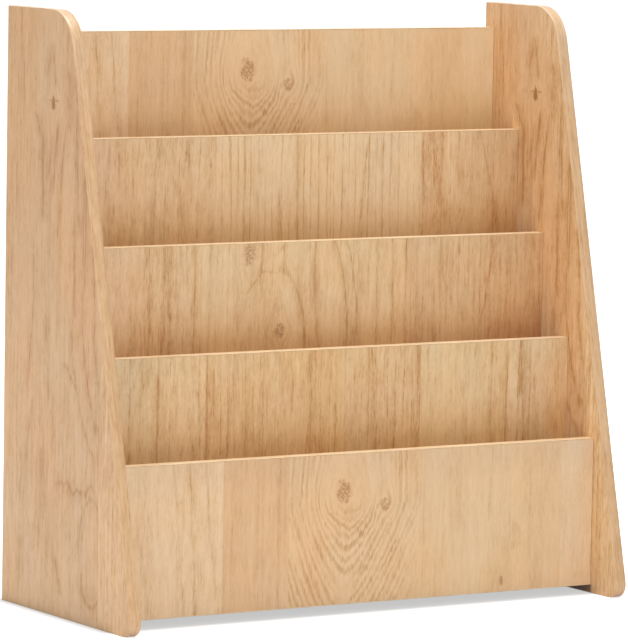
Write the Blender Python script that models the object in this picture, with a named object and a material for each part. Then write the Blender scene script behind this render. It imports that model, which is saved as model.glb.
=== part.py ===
"""Kids ladder bookshelf.

Two side panels with a sloped front edge carry four tall uprights and a low front board. Each board stands
a step further forward and lower than the one behind it. A narrow floor joins each pair into a book pocket.
Everything is placed from the rear edges of the sides, on the ground, half way between the sides.
"""
import math

import bmesh
import bpy
from mathutils import Matrix, Vector

# Side panels, in metres
HEIGHT = 0.600
DEPTH_AT_FOOT = 0.268         # where the sloped front line meets the ground, before the foot is rounded
DEPTH_AT_TOP = 0.128          # where it meets the top edge, before the corner is rounded
TOP_CORNER_RADIUS = 0.043
FOOT_CORNER_RADIUS = 0.014
TOP_CORNER_STEPS = 12
FOOT_CORNER_STEPS = 6

# Boards
BOARD = 0.0125                # 12 mm core with its foil on both faces
ARRIS = 0.0006                # small break on every board edge
INNER_WIDTH = 0.558           # between the sides

# Tiers
TIERS = 4                     # tall uprights, each with a pocket in front of it
REAR_INSET = 0.004            # rear edge of the sides to the rear face of the first upright
FRONT_INSET = 0.0123          # sloped edge to the front face of the front board, at its lip
TOP_LIP_DROP = 0.026          # top of the sides to the first upright's lip
FRONT_LIP_HEIGHT = 0.161
FRONT_RISE = 0.0995           # front board's lip to the lip behind it
FRONT_GAP = 0.0085            # ground to the front board

# Cam fittings
CAM_RADIUS = 0.0075
CAM_SKIN = 0.0027             # board left in front of the cam
CAM_SETBACK = 0.024           # inner face of the side to the cam's axis
CAM_RISE = 0.060              # upright's bottom edge to the cam's axis
FRONT_CAM_DROP = 0.030        # front board's lip to the cam's axis
CAM_FACETS = 24
BOLT_THREAD_RADIUS = 0.0030
BOLT_SHANK_RADIUS = 0.0025
BOLT_NECK_RADIUS = 0.0019
BOLT_NECK_LENGTH = 0.0060
BOLT_HEAD_RADIUS = 0.0033
BOLT_HEAD_LENGTH = 0.0060

# Dowels
DOWEL_RADIUS = 0.0030
DOWEL_REACH = 0.018           # into the end of an upright or a floor
DOWEL_CHAMFER = 0.0006
DOWEL_DROP = 0.060            # upright's lip to the dowel's axis
FRONT_DOWEL_RISE = 0.045      # front board's bottom edge to the dowel's axis

# Floor screws
SCREW_LENGTH = 0.032
SCREW_SHANK_RADIUS = 0.00175
SCREW_HEAD_RADIUS = 0.0035
SCREW_HEAD_RIM = 0.0003
SCREW_TIP_LENGTH = 0.0040
SCREW_TIP_RADIUS = 0.0003
SCREW_END_DISTANCE = 0.140    # inner face of the side to the screw's axis

# Cross recesses
CAM_CROSS_REACH = 0.0032
CAM_CROSS_WIDTH = 0.0016
CAM_CROSS_DEPTH = 0.0018
SCREW_CROSS_REACH = 0.0018
SCREW_CROSS_WIDTH = 0.0009
SCREW_CROSS_DEPTH = 0.0014

# Fits
SEAT = 0.0003                 # between two faces that meet
FIT = 0.00025                 # around a pin in its hole
SIDE_SKIN = 0.0030            # board left behind a blind hole in a side
OVERSHOOT = 0.0010            # how far a cutter runs past the face that it opens
PIN_FACETS = 12
SHARP_ANGLE = math.radians(40)

HALF_WIDTH = INNER_WIDTH / 2
HALF_LENGTH = HALF_WIDTH - SEAT
SIDE_HOLE_DEPTH = BOARD - SIDE_SKIN
CAM_HEIGHT = BOARD - CAM_SKIN - SEAT
SCREW_HEAD_HEIGHT = SCREW_HEAD_RIM + SCREW_HEAD_RADIUS - SCREW_SHANK_RADIUS
ENDS = {"left": -1, "right": 1}

# Colours and finishes: base colour, roughness, metallic
FINISHES = {
    "side_oak": ((0.56, 0.39, 0.24), 0.55, 0.0),
    "upright_oak": ((0.58, 0.40, 0.23), 0.55, 0.0),
    "floor_oak": ((0.55, 0.38, 0.22), 0.55, 0.0),
    "zinc": ((0.62, 0.62, 0.60), 0.45, 1.0),
    "steel": ((0.55, 0.55, 0.57), 0.35, 1.0),
    "beech": ((0.66, 0.48, 0.30), 0.70, 0.0),
}


def side_front(height):
    """Place of the sloped front line at a height; the whole side lies behind it."""
    return -DEPTH_AT_FOOT + (DEPTH_AT_FOOT - DEPTH_AT_TOP) * height / HEIGHT


def tier_places():
    """Rear face, lip and bottom edge of each upright and of the front board, from the rear to the front."""
    step = (-side_front(FRONT_LIP_HEIGHT) - FRONT_INSET - BOARD - REAR_INSET) / TIERS
    top_lip = HEIGHT - TOP_LIP_DROP
    rise = (top_lip - FRONT_LIP_HEIGHT - FRONT_RISE) / (TIERS - 1)
    front_height = FRONT_LIP_HEIGHT - FRONT_GAP
    rears = [-REAR_INSET - step * index for index in range(TIERS + 1)]
    lips = [top_lip - rise * index for index in range(TIERS)] + [FRONT_LIP_HEIGHT]
    bottoms = [lip - front_height for lip in lips[1:]] + [FRONT_GAP]
    return list(zip(rears, lips, bottoms))


def rounded_corner(before, corner, after, radius, steps):
    """Points of the arc that replaces the corner of an outline."""
    to_before = (before - corner).normalized()
    to_after = (after - corner).normalized()
    half_angle = to_before.angle(to_after) / 2
    centre = corner + (to_before + to_after).normalized() * radius / math.sin(half_angle)
    tangent_length = radius / math.tan(half_angle)
    start = corner + to_before * tangent_length - centre
    end = corner + to_after * tangent_length - centre
    turn = (math.pi - 2 * half_angle) / steps
    return [centre + Matrix.Rotation(turn * step, 3, start.cross(end)) @ start for step in range(steps + 1)]


def side_outline():
    """Outline of a side panel, in the plane of one of its faces."""
    rear_foot = Vector((0, 0, 0))
    front_foot = Vector((0, side_front(0), 0))
    front_top = Vector((0, side_front(HEIGHT), HEIGHT))
    rear_top = Vector((0, 0, HEIGHT))
    foot = rounded_corner(rear_foot, front_foot, front_top, FOOT_CORNER_RADIUS, FOOT_CORNER_STEPS)
    top = rounded_corner(front_foot, front_top, rear_top, TOP_CORNER_RADIUS, TOP_CORNER_STEPS)
    return [rear_foot, *foot, *top, rear_top]


def along_x(sign, origin):
    """Frame whose own Z runs along +X or -X from a point."""
    return Matrix.Translation(origin) @ Matrix.Rotation(sign * math.pi / 2, 4, "Y")


def along_y(sign, origin):
    """Frame whose own Z runs along +Y or -Y from a point."""
    return Matrix.Translation(origin) @ Matrix.Rotation(-sign * math.pi / 2, 4, "X")


def finish(name):
    """Material with the colour and finish of one kind of piece."""
    colour, roughness, metallic = FINISHES[name]
    material = bpy.data.materials.new(name)
    material.use_nodes = True
    shader = material.node_tree.nodes["Principled BSDF"]
    shader.inputs["Base Color"].default_value = (*colour, 1.0)
    shader.inputs["Roughness"].default_value = roughness
    shader.inputs["Metallic"].default_value = metallic
    return material


def add_turned(bm, profile, facets=PIN_FACETS, frame=None):
    """Add the closed body that a profile of (radius, height) pairs, from low to high, makes around Z."""
    rings = []
    for radius, height in profile:
        ring = []
        for facet in range(facets):
            angle = 2 * math.pi * facet / facets
            place = Vector((radius * math.cos(angle), radius * math.sin(angle), height))
            ring.append(bm.verts.new(frame @ place if frame else place))
        rings.append(ring)
    bm.faces.new(list(reversed(rings[0])))
    bm.faces.new(rings[-1])
    for lower, upper in zip(rings, rings[1:]):
        for facet in range(facets):
            following = (facet + 1) % facets
            bm.faces.new((lower[facet], lower[following], upper[following], upper[facet]))


def add_prism(bm, outline, travel):
    """Add the closed body that an outline sweeps along a straight travel."""
    base = bm.faces.new([bm.verts.new(point) for point in outline])
    swept = bmesh.ops.extrude_face_region(bm, geom=[base], use_keep_orig=True)
    moved = [item for item in swept["geom"] if isinstance(item, bmesh.types.BMVert)]
    bmesh.ops.translate(bm, verts=moved, vec=travel)
    bmesh.ops.recalc_face_normals(bm, faces=bm.faces)


def add_box(bm, low, high):
    """Add a box between two corners."""
    (left, front, bottom), (right, rear, top) = low, high
    outline = [(left, front, bottom), (right, front, bottom), (right, rear, bottom), (left, rear, bottom)]
    add_prism(bm, outline, (0, 0, top - bottom))


def to_mesh(bm, name):
    """Mesh of a finished bmesh, with its round faces shaded smooth."""
    mesh = bpy.data.meshes.new(name)
    bm.to_mesh(mesh)
    bm.free()
    mesh.shade_smooth()
    mesh.set_sharp_from_angle(angle=SHARP_ANGLE)
    return mesh


def turned_mesh(name, profile, facets=PIN_FACETS):
    """Mesh of one turned body around Z."""
    bm = bmesh.new()
    add_turned(bm, profile, facets)
    return to_mesh(bm, name)


def bores_mesh(name, bores):
    """Mesh of several bores, each a frame, a profile and a count of facets."""
    bm = bmesh.new()
    for frame, profile, facets in bores:
        add_turned(bm, profile, facets, frame)
    return to_mesh(bm, name)


def box_mesh(name, low, high):
    """Mesh of one box."""
    bm = bmesh.new()
    add_box(bm, low, high)
    return to_mesh(bm, name)


def cross_mesh(name, reach, width, depth):
    """Mesh of a cross recess that goes down from the top plane."""
    half = width / 2
    arm = [(half, half), (half, reach), (-half, reach)]
    outline = []
    for quarter in range(4):
        turn = Matrix.Rotation(quarter * math.pi / 2, 3, "Z")
        outline += [turn @ Vector((x, y, OVERSHOOT)) for x, y in arm]
    bm = bmesh.new()
    add_prism(bm, outline, (0, 0, -depth - OVERSHOOT))
    return to_mesh(bm, name)


def place(name, mesh, parent, frame=None, material=None):
    """Named object with a mesh, placed in its parent's frame."""
    thing = bpy.data.objects.new(name, mesh)
    bpy.context.scene.collection.objects.link(thing)
    thing.parent = parent
    if frame is not None:
        thing.matrix_local = frame
    if material is not None:
        thing.data.materials.clear()
        thing.data.materials.append(material)
    return thing


def cut(thing, cutter_mesh):
    """Take a cutter, kept as a hidden helper beside the piece, out of a piece."""
    cutter = place(cutter_mesh.name, cutter_mesh, thing.parent)
    cutter.hide_render = True
    cutter.display_type = "WIRE"
    modifier = thing.modifiers.new(cutter_mesh.name, "BOOLEAN")
    modifier.operation = "DIFFERENCE"
    modifier.object = cutter


def carved(mesh, cutter_meshes):
    """Mesh with several cutters taken out of it, one after another."""
    body = place("carving", mesh, None)
    for cutter_mesh in cutter_meshes:
        cut(body, cutter_mesh)
    cutters = [modifier.object for modifier in body.modifiers]
    result = bpy.data.meshes.new_from_object(body.evaluated_get(bpy.context.evaluated_depsgraph_get()))
    for helper in (body, *cutters):
        bpy.data.objects.remove(helper)
    return result


def break_edges(thing):
    """Break the long edges of a board a little, before its holes are drilled."""
    bevel = thing.modifiers.new("arris", "BEVEL")
    bevel.width = ARRIS
    bevel.segments = 1
    bevel.limit_method = "ANGLE"
    bevel.angle_limit = SHARP_ANGLE


def cam_mesh():
    """Cam disc with its drive face on top, a pocket for the bolt's head and a narrow mouth towards +X."""
    disc = turned_mesh("cam", [(CAM_RADIUS - FIT, -CAM_HEIGHT), (CAM_RADIUS - FIT, 0)], CAM_FACETS)
    bolt_depth = BOARD / 2
    open_end = -CAM_HEIGHT - OVERSHOOT
    pocket_half_length = BOLT_HEAD_LENGTH / 2 + SEAT
    pocket_half_width = BOLT_HEAD_RADIUS + FIT
    pocket = box_mesh(
        "cam_pocket",
        (-pocket_half_length, -pocket_half_width, open_end),
        (pocket_half_length, pocket_half_width, pocket_half_width - bolt_depth),
    )
    mouth_half_width = BOLT_NECK_RADIUS + FIT
    mouth = box_mesh(
        "cam_mouth",
        (0, -mouth_half_width, open_end),
        (CAM_RADIUS + OVERSHOOT, mouth_half_width, mouth_half_width - bolt_depth),
    )
    cross = cross_mesh("cam_cross", CAM_CROSS_REACH, CAM_CROSS_WIDTH, CAM_CROSS_DEPTH)
    return carved(disc, [pocket, mouth, cross])


def bolt_mesh():
    """Cam bolt along Z: its thread below the face of the side, its head at the cam's axis."""
    head_low = CAM_SETBACK - BOLT_HEAD_LENGTH / 2
    neck_low = head_low - BOLT_NECK_LENGTH
    profile = [
        (BOLT_THREAD_RADIUS, SEAT - SIDE_HOLE_DEPTH),
        (BOLT_THREAD_RADIUS, 0),
        (BOLT_SHANK_RADIUS, 0),
        (BOLT_SHANK_RADIUS, neck_low),
        (BOLT_NECK_RADIUS, neck_low),
        (BOLT_NECK_RADIUS, head_low),
        (BOLT_HEAD_RADIUS, head_low),
        (BOLT_HEAD_RADIUS, head_low + BOLT_HEAD_LENGTH),
    ]
    return turned_mesh("cam_bolt", profile)


def dowel_mesh():
    """Dowel along Z, from inside the side to its reach in the other board."""
    low = SEAT - SIDE_HOLE_DEPTH
    profile = [
        (DOWEL_RADIUS - DOWEL_CHAMFER, low),
        (DOWEL_RADIUS, low + DOWEL_CHAMFER),
        (DOWEL_RADIUS, DOWEL_REACH - DOWEL_CHAMFER),
        (DOWEL_RADIUS - DOWEL_CHAMFER, DOWEL_REACH),
    ]
    return turned_mesh("dowel", profile)


def screw_mesh():
    """Countersunk screw along Z with its drive face on top."""
    profile = [
        (SCREW_TIP_RADIUS, -SCREW_LENGTH),
        (SCREW_SHANK_RADIUS, SCREW_TIP_LENGTH - SCREW_LENGTH),
        (SCREW_SHANK_RADIUS, -SCREW_HEAD_HEIGHT),
        (SCREW_HEAD_RADIUS, -SCREW_HEAD_RIM),
        (SCREW_HEAD_RADIUS, 0),
    ]
    cross = cross_mesh("screw_cross", SCREW_CROSS_REACH, SCREW_CROSS_WIDTH, SCREW_CROSS_DEPTH)
    return carved(turned_mesh("floor_screw", profile), [cross])


def pin_bore(radius, low, high):
    """Profile of a plain hole for a pin, in the pin's own frame."""
    return [(radius + FIT, low), (radius + FIT, high)]


def screw_bore():
    """Profile of a countersunk screw's hole through its board, in the screw's own frame."""
    return [
        (SCREW_SHANK_RADIUS + FIT, -BOARD - OVERSHOOT),
        (SCREW_SHANK_RADIUS + FIT, -SCREW_HEAD_HEIGHT - FIT),
        (SCREW_HEAD_RADIUS + FIT, -SCREW_HEAD_RIM - FIT),
        (SCREW_HEAD_RADIUS + FIT, OVERSHOOT),
    ]


class Plan:
    """Where every fitting goes, as frames that pieces and holes share."""

    def __init__(self):
        self.cams = {}
        self.bolts = {}
        self.dowels = {}
        self.floor_dowels = {}
        self.screws = {}
        self.floors = []
        places = tier_places()
        for tier, (rear, lip, bottom) in enumerate(places, 1):
            is_front = tier > TIERS
            middle = rear - BOARD / 2
            cam_height = lip - FRONT_CAM_DROP if is_front else bottom + CAM_RISE
            dowel_height = bottom + FRONT_DOWEL_RISE if is_front else lip - DOWEL_DROP
            for end, sign in ENDS.items():
                inward = -sign
                mouth = Matrix.Rotation(0 if sign > 0 else math.pi, 4, "Z")
                cam_origin = (sign * (HALF_WIDTH - CAM_SETBACK), rear, cam_height)
                self.cams[tier, end] = along_y(1, cam_origin) @ mouth
                self.bolts[tier, end] = along_x(inward, (sign * HALF_WIDTH, middle, cam_height))
                self.dowels[tier, end] = along_x(inward, (sign * HALF_WIDTH, middle, dowel_height))
        for tier in range(1, TIERS + 1):
            rear, _, bottom = places[tier - 1]
            next_rear = places[tier][0]
            floor_rear = rear - BOARD - SEAT
            floor_front = next_rear + SEAT
            self.floors.append((floor_rear, floor_front, bottom))
            middle_depth = (floor_rear + floor_front) / 2
            middle_height = bottom + BOARD / 2
            for end, sign in ENDS.items():
                dowel_origin = (sign * HALF_WIDTH, middle_depth, middle_height)
                self.floor_dowels[tier, end] = along_x(-sign, dowel_origin)
                screw_origin = (sign * (HALF_WIDTH - SCREW_END_DISTANCE), rear, middle_height)
                self.screws[tier, end] = along_y(1, screw_origin)

    def of_end(self, frames, end):
        """Frames of one kind at one end of the shelf."""
        return [frame for (_, frame_end), frame in frames.items() if frame_end == end]

    def of_tier(self, frames, tier):
        """Frames of one kind on one tier."""
        return [frame for (frame_tier, _), frame in frames.items() if frame_tier == tier]


def make_sides(plan, root, material):
    """The two side panels with their blind holes for bolts and dowels."""
    bm = bmesh.new()
    add_prism(bm, side_outline(), (BOARD, 0, 0))
    panel = to_mesh(bm, "side_panel")
    bolt_hole = pin_bore(BOLT_THREAD_RADIUS, -SIDE_HOLE_DEPTH, OVERSHOOT)
    dowel_hole = pin_bore(DOWEL_RADIUS, -SIDE_HOLE_DEPTH, OVERSHOOT)
    for end, sign in ENDS.items():
        near_face = HALF_WIDTH if sign > 0 else -HALF_WIDTH - BOARD
        side = place(f"side_{end}", panel, root, Matrix.Translation((near_face, 0, 0)), material)
        break_edges(side)
        bores = [(frame, bolt_hole, PIN_FACETS) for frame in plan.of_end(plan.bolts, end)]
        for frames in (plan.dowels, plan.floor_dowels):
            bores += [(frame, dowel_hole, PIN_FACETS) for frame in plan.of_end(frames, end)]
        cut(side, bores_mesh(f"side_{end}_holes", bores))


def make_uprights(plan, root, material):
    """The tall uprights and the front board, with the holes for their fittings."""
    cam_bore = pin_bore(CAM_RADIUS - FIT, -CAM_HEIGHT - SEAT, OVERSHOOT)
    bolt_bore = pin_bore(BOLT_HEAD_RADIUS, -OVERSHOOT, CAM_SETBACK)
    dowel_bore = pin_bore(DOWEL_RADIUS, -OVERSHOOT, DOWEL_REACH + SEAT)
    for tier, (rear, lip, bottom) in enumerate(tier_places(), 1):
        name = f"upright_{tier}" if tier <= TIERS else "front_board"
        mesh = box_mesh(name, (-HALF_LENGTH, -BOARD, bottom - lip), (HALF_LENGTH, 0, 0))
        upright = place(name, mesh, root, Matrix.Translation((0, rear, lip)), material)
        break_edges(upright)
        bores = [(frame, cam_bore, CAM_FACETS) for frame in plan.of_tier(plan.cams, tier)]
        bores += [(frame, dowel_bore, PIN_FACETS) for frame in plan.of_tier(plan.dowels, tier)]
        bores += [(frame, screw_bore(), PIN_FACETS) for frame in plan.of_tier(plan.screws, tier)]
        cut(upright, bores_mesh(f"{name}_holes", bores))
        bolt_bores = [(frame, bolt_bore, PIN_FACETS) for frame in plan.of_tier(plan.bolts, tier)]
        cut(upright, bores_mesh(f"{name}_bolt_holes", bolt_bores))


def make_floors(plan, root, material):
    """The pocket floors, with the holes for their dowels and screws."""
    dowel_bore = pin_bore(DOWEL_RADIUS, -OVERSHOOT, DOWEL_REACH + SEAT)
    screw_hole = pin_bore(SCREW_SHANK_RADIUS, -SCREW_LENGTH - SEAT, -BOARD)
    for tier, (floor_rear, floor_front, bottom) in enumerate(plan.floors, 1):
        name = f"floor_{tier}"
        mesh = box_mesh(name, (-HALF_LENGTH, floor_front - floor_rear, 0), (HALF_LENGTH, 0, BOARD))
        floor = place(name, mesh, root, Matrix.Translation((0, floor_rear, bottom)), material)
        break_edges(floor)
        bores = [(frame, dowel_bore, PIN_FACETS) for frame in plan.of_tier(plan.floor_dowels, tier)]
        bores += [(frame, screw_hole, PIN_FACETS) for frame in plan.of_tier(plan.screws, tier)]
        cut(floor, bores_mesh(f"{name}_holes", bores))


def make_fittings(plan, root, materials):
    """Every cam, bolt, dowel and screw as an object of its own, with one mesh for each kind."""
    kinds = (
        ("cam", cam_mesh(), plan.cams, "zinc"),
        ("cam_bolt", bolt_mesh(), plan.bolts, "steel"),
        ("dowel", dowel_mesh(), plan.dowels, "beech"),
        ("floor_dowel", dowel_mesh(), plan.floor_dowels, "beech"),
        ("floor_screw", screw_mesh(), plan.screws, "steel"),
    )
    for kind, mesh, frames, material in kinds:
        for (tier, end), frame in frames.items():
            place(f"{kind}_{tier}_{end}", mesh, root, frame, materials[material])


def main():
    for old in list(bpy.data.objects):
        bpy.data.objects.remove(old)
    root = bpy.data.objects.new("bookshelf", None)
    bpy.context.scene.collection.objects.link(root)
    overall_depth = max(-point.y for point in side_outline())
    root.location.y = overall_depth / 2
    materials = {name: finish(name) for name in FINISHES}
    plan = Plan()
    make_sides(plan, root, materials["side_oak"])
    make_uprights(plan, root, materials["upright_oak"])
    make_floors(plan, root, materials["floor_oak"])
    make_fittings(plan, root, materials)


main()
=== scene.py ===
# %% [markdown]
# # A ladder bookshelf for small children
#
# Two side panels with a sloped front edge carry four tall uprights and a low front board. Each board stands
# a step lower and further forward than the one behind it, and a narrow floor between each pair makes a pocket
# for picture books. Everything is oak-look board, put together with cam locks, dowels and screws.
#
# The sizes are settled already: the packed model holds every piece at its real place. This lesson adds what a
# camera sees: crisp edge bands, drilled holes, fittings, and above all a convincing oak foil.

import math
from collections import namedtuple
from functools import partialmethod, reduce
from operator import attrgetter

import bmesh
import bpy
from mathutils import Matrix, Vector


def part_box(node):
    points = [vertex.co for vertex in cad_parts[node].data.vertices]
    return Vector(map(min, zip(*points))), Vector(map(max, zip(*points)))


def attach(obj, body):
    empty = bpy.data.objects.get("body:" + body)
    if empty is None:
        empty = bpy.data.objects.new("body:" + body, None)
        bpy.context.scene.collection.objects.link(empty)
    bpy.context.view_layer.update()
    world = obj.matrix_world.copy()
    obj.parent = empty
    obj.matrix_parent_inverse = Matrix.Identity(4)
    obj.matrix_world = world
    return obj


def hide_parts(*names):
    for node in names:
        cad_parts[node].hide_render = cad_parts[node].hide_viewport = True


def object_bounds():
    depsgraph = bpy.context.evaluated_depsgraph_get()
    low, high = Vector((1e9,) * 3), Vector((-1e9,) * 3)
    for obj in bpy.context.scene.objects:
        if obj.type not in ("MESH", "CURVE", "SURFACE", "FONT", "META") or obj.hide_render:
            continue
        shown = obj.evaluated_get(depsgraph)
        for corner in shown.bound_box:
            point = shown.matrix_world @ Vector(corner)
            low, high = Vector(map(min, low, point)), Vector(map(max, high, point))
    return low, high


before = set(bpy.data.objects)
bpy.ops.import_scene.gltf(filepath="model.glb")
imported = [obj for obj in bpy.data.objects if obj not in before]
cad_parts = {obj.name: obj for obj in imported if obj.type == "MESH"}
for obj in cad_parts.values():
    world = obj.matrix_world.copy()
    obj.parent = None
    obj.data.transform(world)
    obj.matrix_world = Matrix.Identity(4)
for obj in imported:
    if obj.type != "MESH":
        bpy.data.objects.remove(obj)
cad_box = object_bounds()


def short(corners):
    """Points with four decimals, for printing."""
    return [tuple(round(number, 4) for number in corner) for corner in corners]


def put(name, data):
    """New object in the scene."""
    thing = bpy.data.objects.new(name, data)
    bpy.context.scene.collection.objects.link(thing)
    return thing


print("packed model:", len(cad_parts), "nodes, box", short(cad_box))

# %% [markdown]
# ## The camera
#
# A long lens from a little above the shelf keeps the upright lines nearly parallel, as in a catalogue
# picture. We could drag a camera about until it looks right. It is steadier to name what a photographer would
# note down: the direction, the small roll, the distance, the lens and the point in the middle of the picture.

# %% Camera
CAMERA_AZIMUTH = math.radians(-31.5)    # to the left of straight in front
CAMERA_ELEVATION = math.radians(5.92)
CAMERA_ROLL = math.radians(1.01)
CAMERA_DISTANCE = 5.066
CAMERA_AIM = Vector((-0.0014, 0.0112, 0.2846))
LENS_MM = 281.1                         # on Blender's usual 36 mm sensor
CLIP_END = 100.0

camera = put("camera", bpy.data.cameras.new("camera"))
camera.data.lens = LENS_MM
camera.data.clip_end = CLIP_END
bpy.context.scene.camera = camera

sine = math.sin(CAMERA_AZIMUTH)
cosine = math.cos(CAMERA_AZIMUTH)
level = math.cos(CAMERA_ELEVATION)
sideways = Vector((cosine, sine, 0.0))
backward = Vector((level * sine, -level * cosine, math.sin(CAMERA_ELEVATION)))
upward = backward.cross(sideways)
turn = Matrix((sideways, upward, backward)).transposed().to_4x4()
stand = Matrix.Translation(CAMERA_AIM + backward * CAMERA_DISTANCE)
camera.matrix_world = stand @ turn @ Matrix.Rotation(CAMERA_ROLL, 4, "Z")
print("camera at", short([camera.matrix_world.translation]))

# %% [markdown]
# ## Sums as nodes
#
# Blender's materials and Geometry Nodes both do arithmetic with Math nodes. Laying those out one by one hides
# the idea behind them. A small wrapper lets Python's own operators place the nodes, so a formula reads as a
# formula and the tree is the same as one that was wired by hand.


# %% Nodes and signals
def fill(node, inputs):
    """Link signals to a node's inputs, or set the inputs to plain values."""
    for key, value in inputs.items():
        port = node.inputs[key]
        if isinstance(value, Signal):
            port.id_data.links.new(value.socket, port)
        else:
            port.default_value = value


def add_node(tree, kind, inputs=None, **settings):
    """New node with some of its settings and inputs changed."""
    made = tree.nodes.new(kind)
    for name, value in settings.items():
        setattr(made, name, value)
    fill(made, inputs or {})
    return made


def wire(tree, kind, inputs=None, output=0, **settings):
    """One output of a new node."""
    return Signal(add_node(tree, kind, inputs, **settings).outputs[output])


class Signal:
    """A node's output that can be used like a number."""

    def __init__(self, socket):
        self.socket = socket
        self.tree = socket.id_data

    def math(self, operation, *others):
        """Send this signal and others through a Math node."""
        return wire(self.tree, "ShaderNodeMath", dict(enumerate((self, *others))), operation=operation)

    def hypot(self, other):
        """Long side of a right triangle."""
        return (self * self + other * other).root()

    __add__ = partialmethod(math, "ADD")
    __sub__ = partialmethod(math, "SUBTRACT")
    __mul__ = partialmethod(math, "MULTIPLY")
    __truediv__ = partialmethod(math, "DIVIDE")
    __abs__ = partialmethod(math, "ABSOLUTE")
    root = partialmethod(math, "SQRT")
    lower = partialmethod(math, "MINIMUM")
    higher = partialmethod(math, "MAXIMUM")
    above = partialmethod(math, "GREATER_THAN")
    below = partialmethod(math, "LESS_THAN")


def new_group(name, kind, inputs, outputs):
    """Node tree with sockets by name and type; returns it and a signal for each input."""
    tree = bpy.data.node_groups.new(name, kind)
    for direction, sockets in (("INPUT", inputs), ("OUTPUT", outputs)):
        for socket, socket_type in sockets.items():
            tree.interface.new_socket(name=socket, in_out=direction, socket_type=f"NodeSocket{socket_type}")
    start = add_node(tree, "NodeGroupInput")
    return tree, {output.name: Signal(output) for output in start.outputs if output.name}


print("sums that a signal can do:", [name for name in vars(Signal) if not name.startswith("_")])

# %% Helpers for materials
# Waves per metre across and along, a step of the seed, the detail, and the size that the noise is used at.
Noise = namedtuple("Noise", "across along seed detail size", defaults=[0.0, 2.0, 1.0])


def parts_of(vector):
    """The three numbers of a vector."""
    split = add_node(vector.tree, "ShaderNodeSeparateXYZ", {0: vector})
    return [Signal(output) for output in split.outputs]


def vector_of(*numbers):
    """A vector from numbers, the first of which is a signal."""
    return wire(numbers[0].tree, "ShaderNodeCombineXYZ", dict(enumerate(numbers)))


def fade(value, start, end, strength=1.0):
    """0 up to start, strength from end on, smooth in between; start may be the larger one."""
    inputs = {"Value": value, "From Min": start, "From Max": end, "To Max": strength}
    return wire(value.tree, "ShaderNodeMapRange", inputs, "Result", interpolation_type="SMOOTHSTEP")


def noise(kind, across, along, seed):
    """Smooth noise from 0 to 1."""
    point = vector_of(across * kind.across, along * kind.along, seed + kind.seed)
    inputs = {"Vector": point, "Scale": 1.0, "Detail": kind.detail}
    return wire(across.tree, "ShaderNodeTexNoise", inputs, "Fac", noise_dimensions="3D")


def swing(kind, across, along, seed):
    """Noise about 0, at its size."""
    return (noise(kind, across, along, seed) - 0.5) * kind.size


def blend_colours(amount, first, second):
    """Mix two colours, each a signal or a plain colour."""
    mix = add_node(amount.tree, "ShaderNodeMix", {"Factor": amount}, data_type="RGBA")
    ports = [index for index, port in enumerate(mix.inputs) if port.type == "RGBA"]
    colours = [colour if isinstance(colour, Signal) else (*colour, 1.0) for colour in (first, second)]
    fill(mix, dict(zip(ports, colours)))
    return Signal(next(output for output in mix.outputs if output.type == "RGBA"))


def bumped(height, distance):
    """Normal of a surface that a height signal raises."""
    return wire(height.tree, "ShaderNodeBump", {"Height": height, "Distance": distance}, "Normal")


def new_material(name):
    """Material, its Principled shader, and the three Object coordinates in metres."""
    material = bpy.data.materials.new(name)
    material.use_nodes = True
    place = wire(material.node_tree, "ShaderNodeTexCoord", output="Object")
    return material, material.node_tree.nodes["Principled BSDF"], parts_of(place)


print("a noise is given by", Noise._fields)

# %% [markdown]
# ## The oak foil: growth lines
#
# The boards are chipboard under a printed foil. The print shows staves of oak side by side. In each stave the
# growth lines run nearly straight, but where the saw has cut along the heart of a trunk they close into
# arches, and round a knot they part and close again.
#
# A picture texture would need a photograph. Instead every line is a level line of a field, like the contour
# lines on a map. In a straight stave the field is the distance across the board. Around a heart the square of
# an arch's half width shrinks evenly with height, which gives nested arches with long flanks. Single lines
# that stand out are drawn one by one on top: arches and ovals, dark strokes along the fibres, and ripples
# across them.

# %% Staves and marks of a print
# A strip of the print, from its left edge to the next strip's.
Stave = namedtuple("Stave", "edge tone line_gap line_strength contrast")

# Nested arches in one stave. A pull is what the square of their half width loses for each metre of height.
Heart = namedtuple("Heart", "across along pull_above pull_below reach start end")

# One arch by itself, closed at a tip above and a tip below its middle.
Arch = namedtuple("Arch", "across along half_width tip_above tip_below darkness")

# One closed oval line. Its left arm may be weaker.
Oval = namedtuple("Oval", "across along half_width half_length darkness left_share", defaults=[1.0])

# One dark line along the fibres; lean and bend move it across, by its height over the place along.
Stroke = namedtuple("Stroke", "across lean half_width darkness along reach bend", defaults=[-0.075, 1.0, 0.0])

# A dark wavy line across the fibres.
Ripple = namedtuple("Ripple", "across along reach height half_width darkness")

# A patch of dark flecks.
Knot = namedtuple("Knot", "across along half_width half_length darkness")

# What is printed on one kind of board. Growth lines fade out in the calm patch, which is given like a knot.
# Single lines are drawn only to the right of lines_from.
Decor = namedtuple(
    "Decor",
    "staves heart calm lines_from arches ovals strokes ripples knots",
    defaults=[None, None, -1.0, (), (), (), (), ()],
)
print("a print holds", Decor._fields)

# %% Field of the growth lines
HEART_SOFTNESS = 0.00036      # rounds the arches of a heart
POINT_SLOPE = 0.55            # below a heart the arches are drawn out to a point
POINT_RADIUS = 0.006
POINT_SHARE = 0.50
HEART_LEAN = 0.09             # the point lies to the left of the heart
HEART_FADE = 0.010
KNOT_PART = 3.6               # fibres part as far as this from a knot, counted in its half widths
KNOT_PULL = 0.8


def arch_field(across, along, figure, pull_above, pull_below, softness):
    """Half width, at the height of a figure's middle, of the arch that each point lies on."""
    sideways = across - figure.across
    upward = along - figure.along
    pulled = upward.higher(0.0) * pull_above - upward.lower(0.0) * pull_below
    return (sideways * sideways + pulled.hypot(softness) - softness).root()


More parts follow.
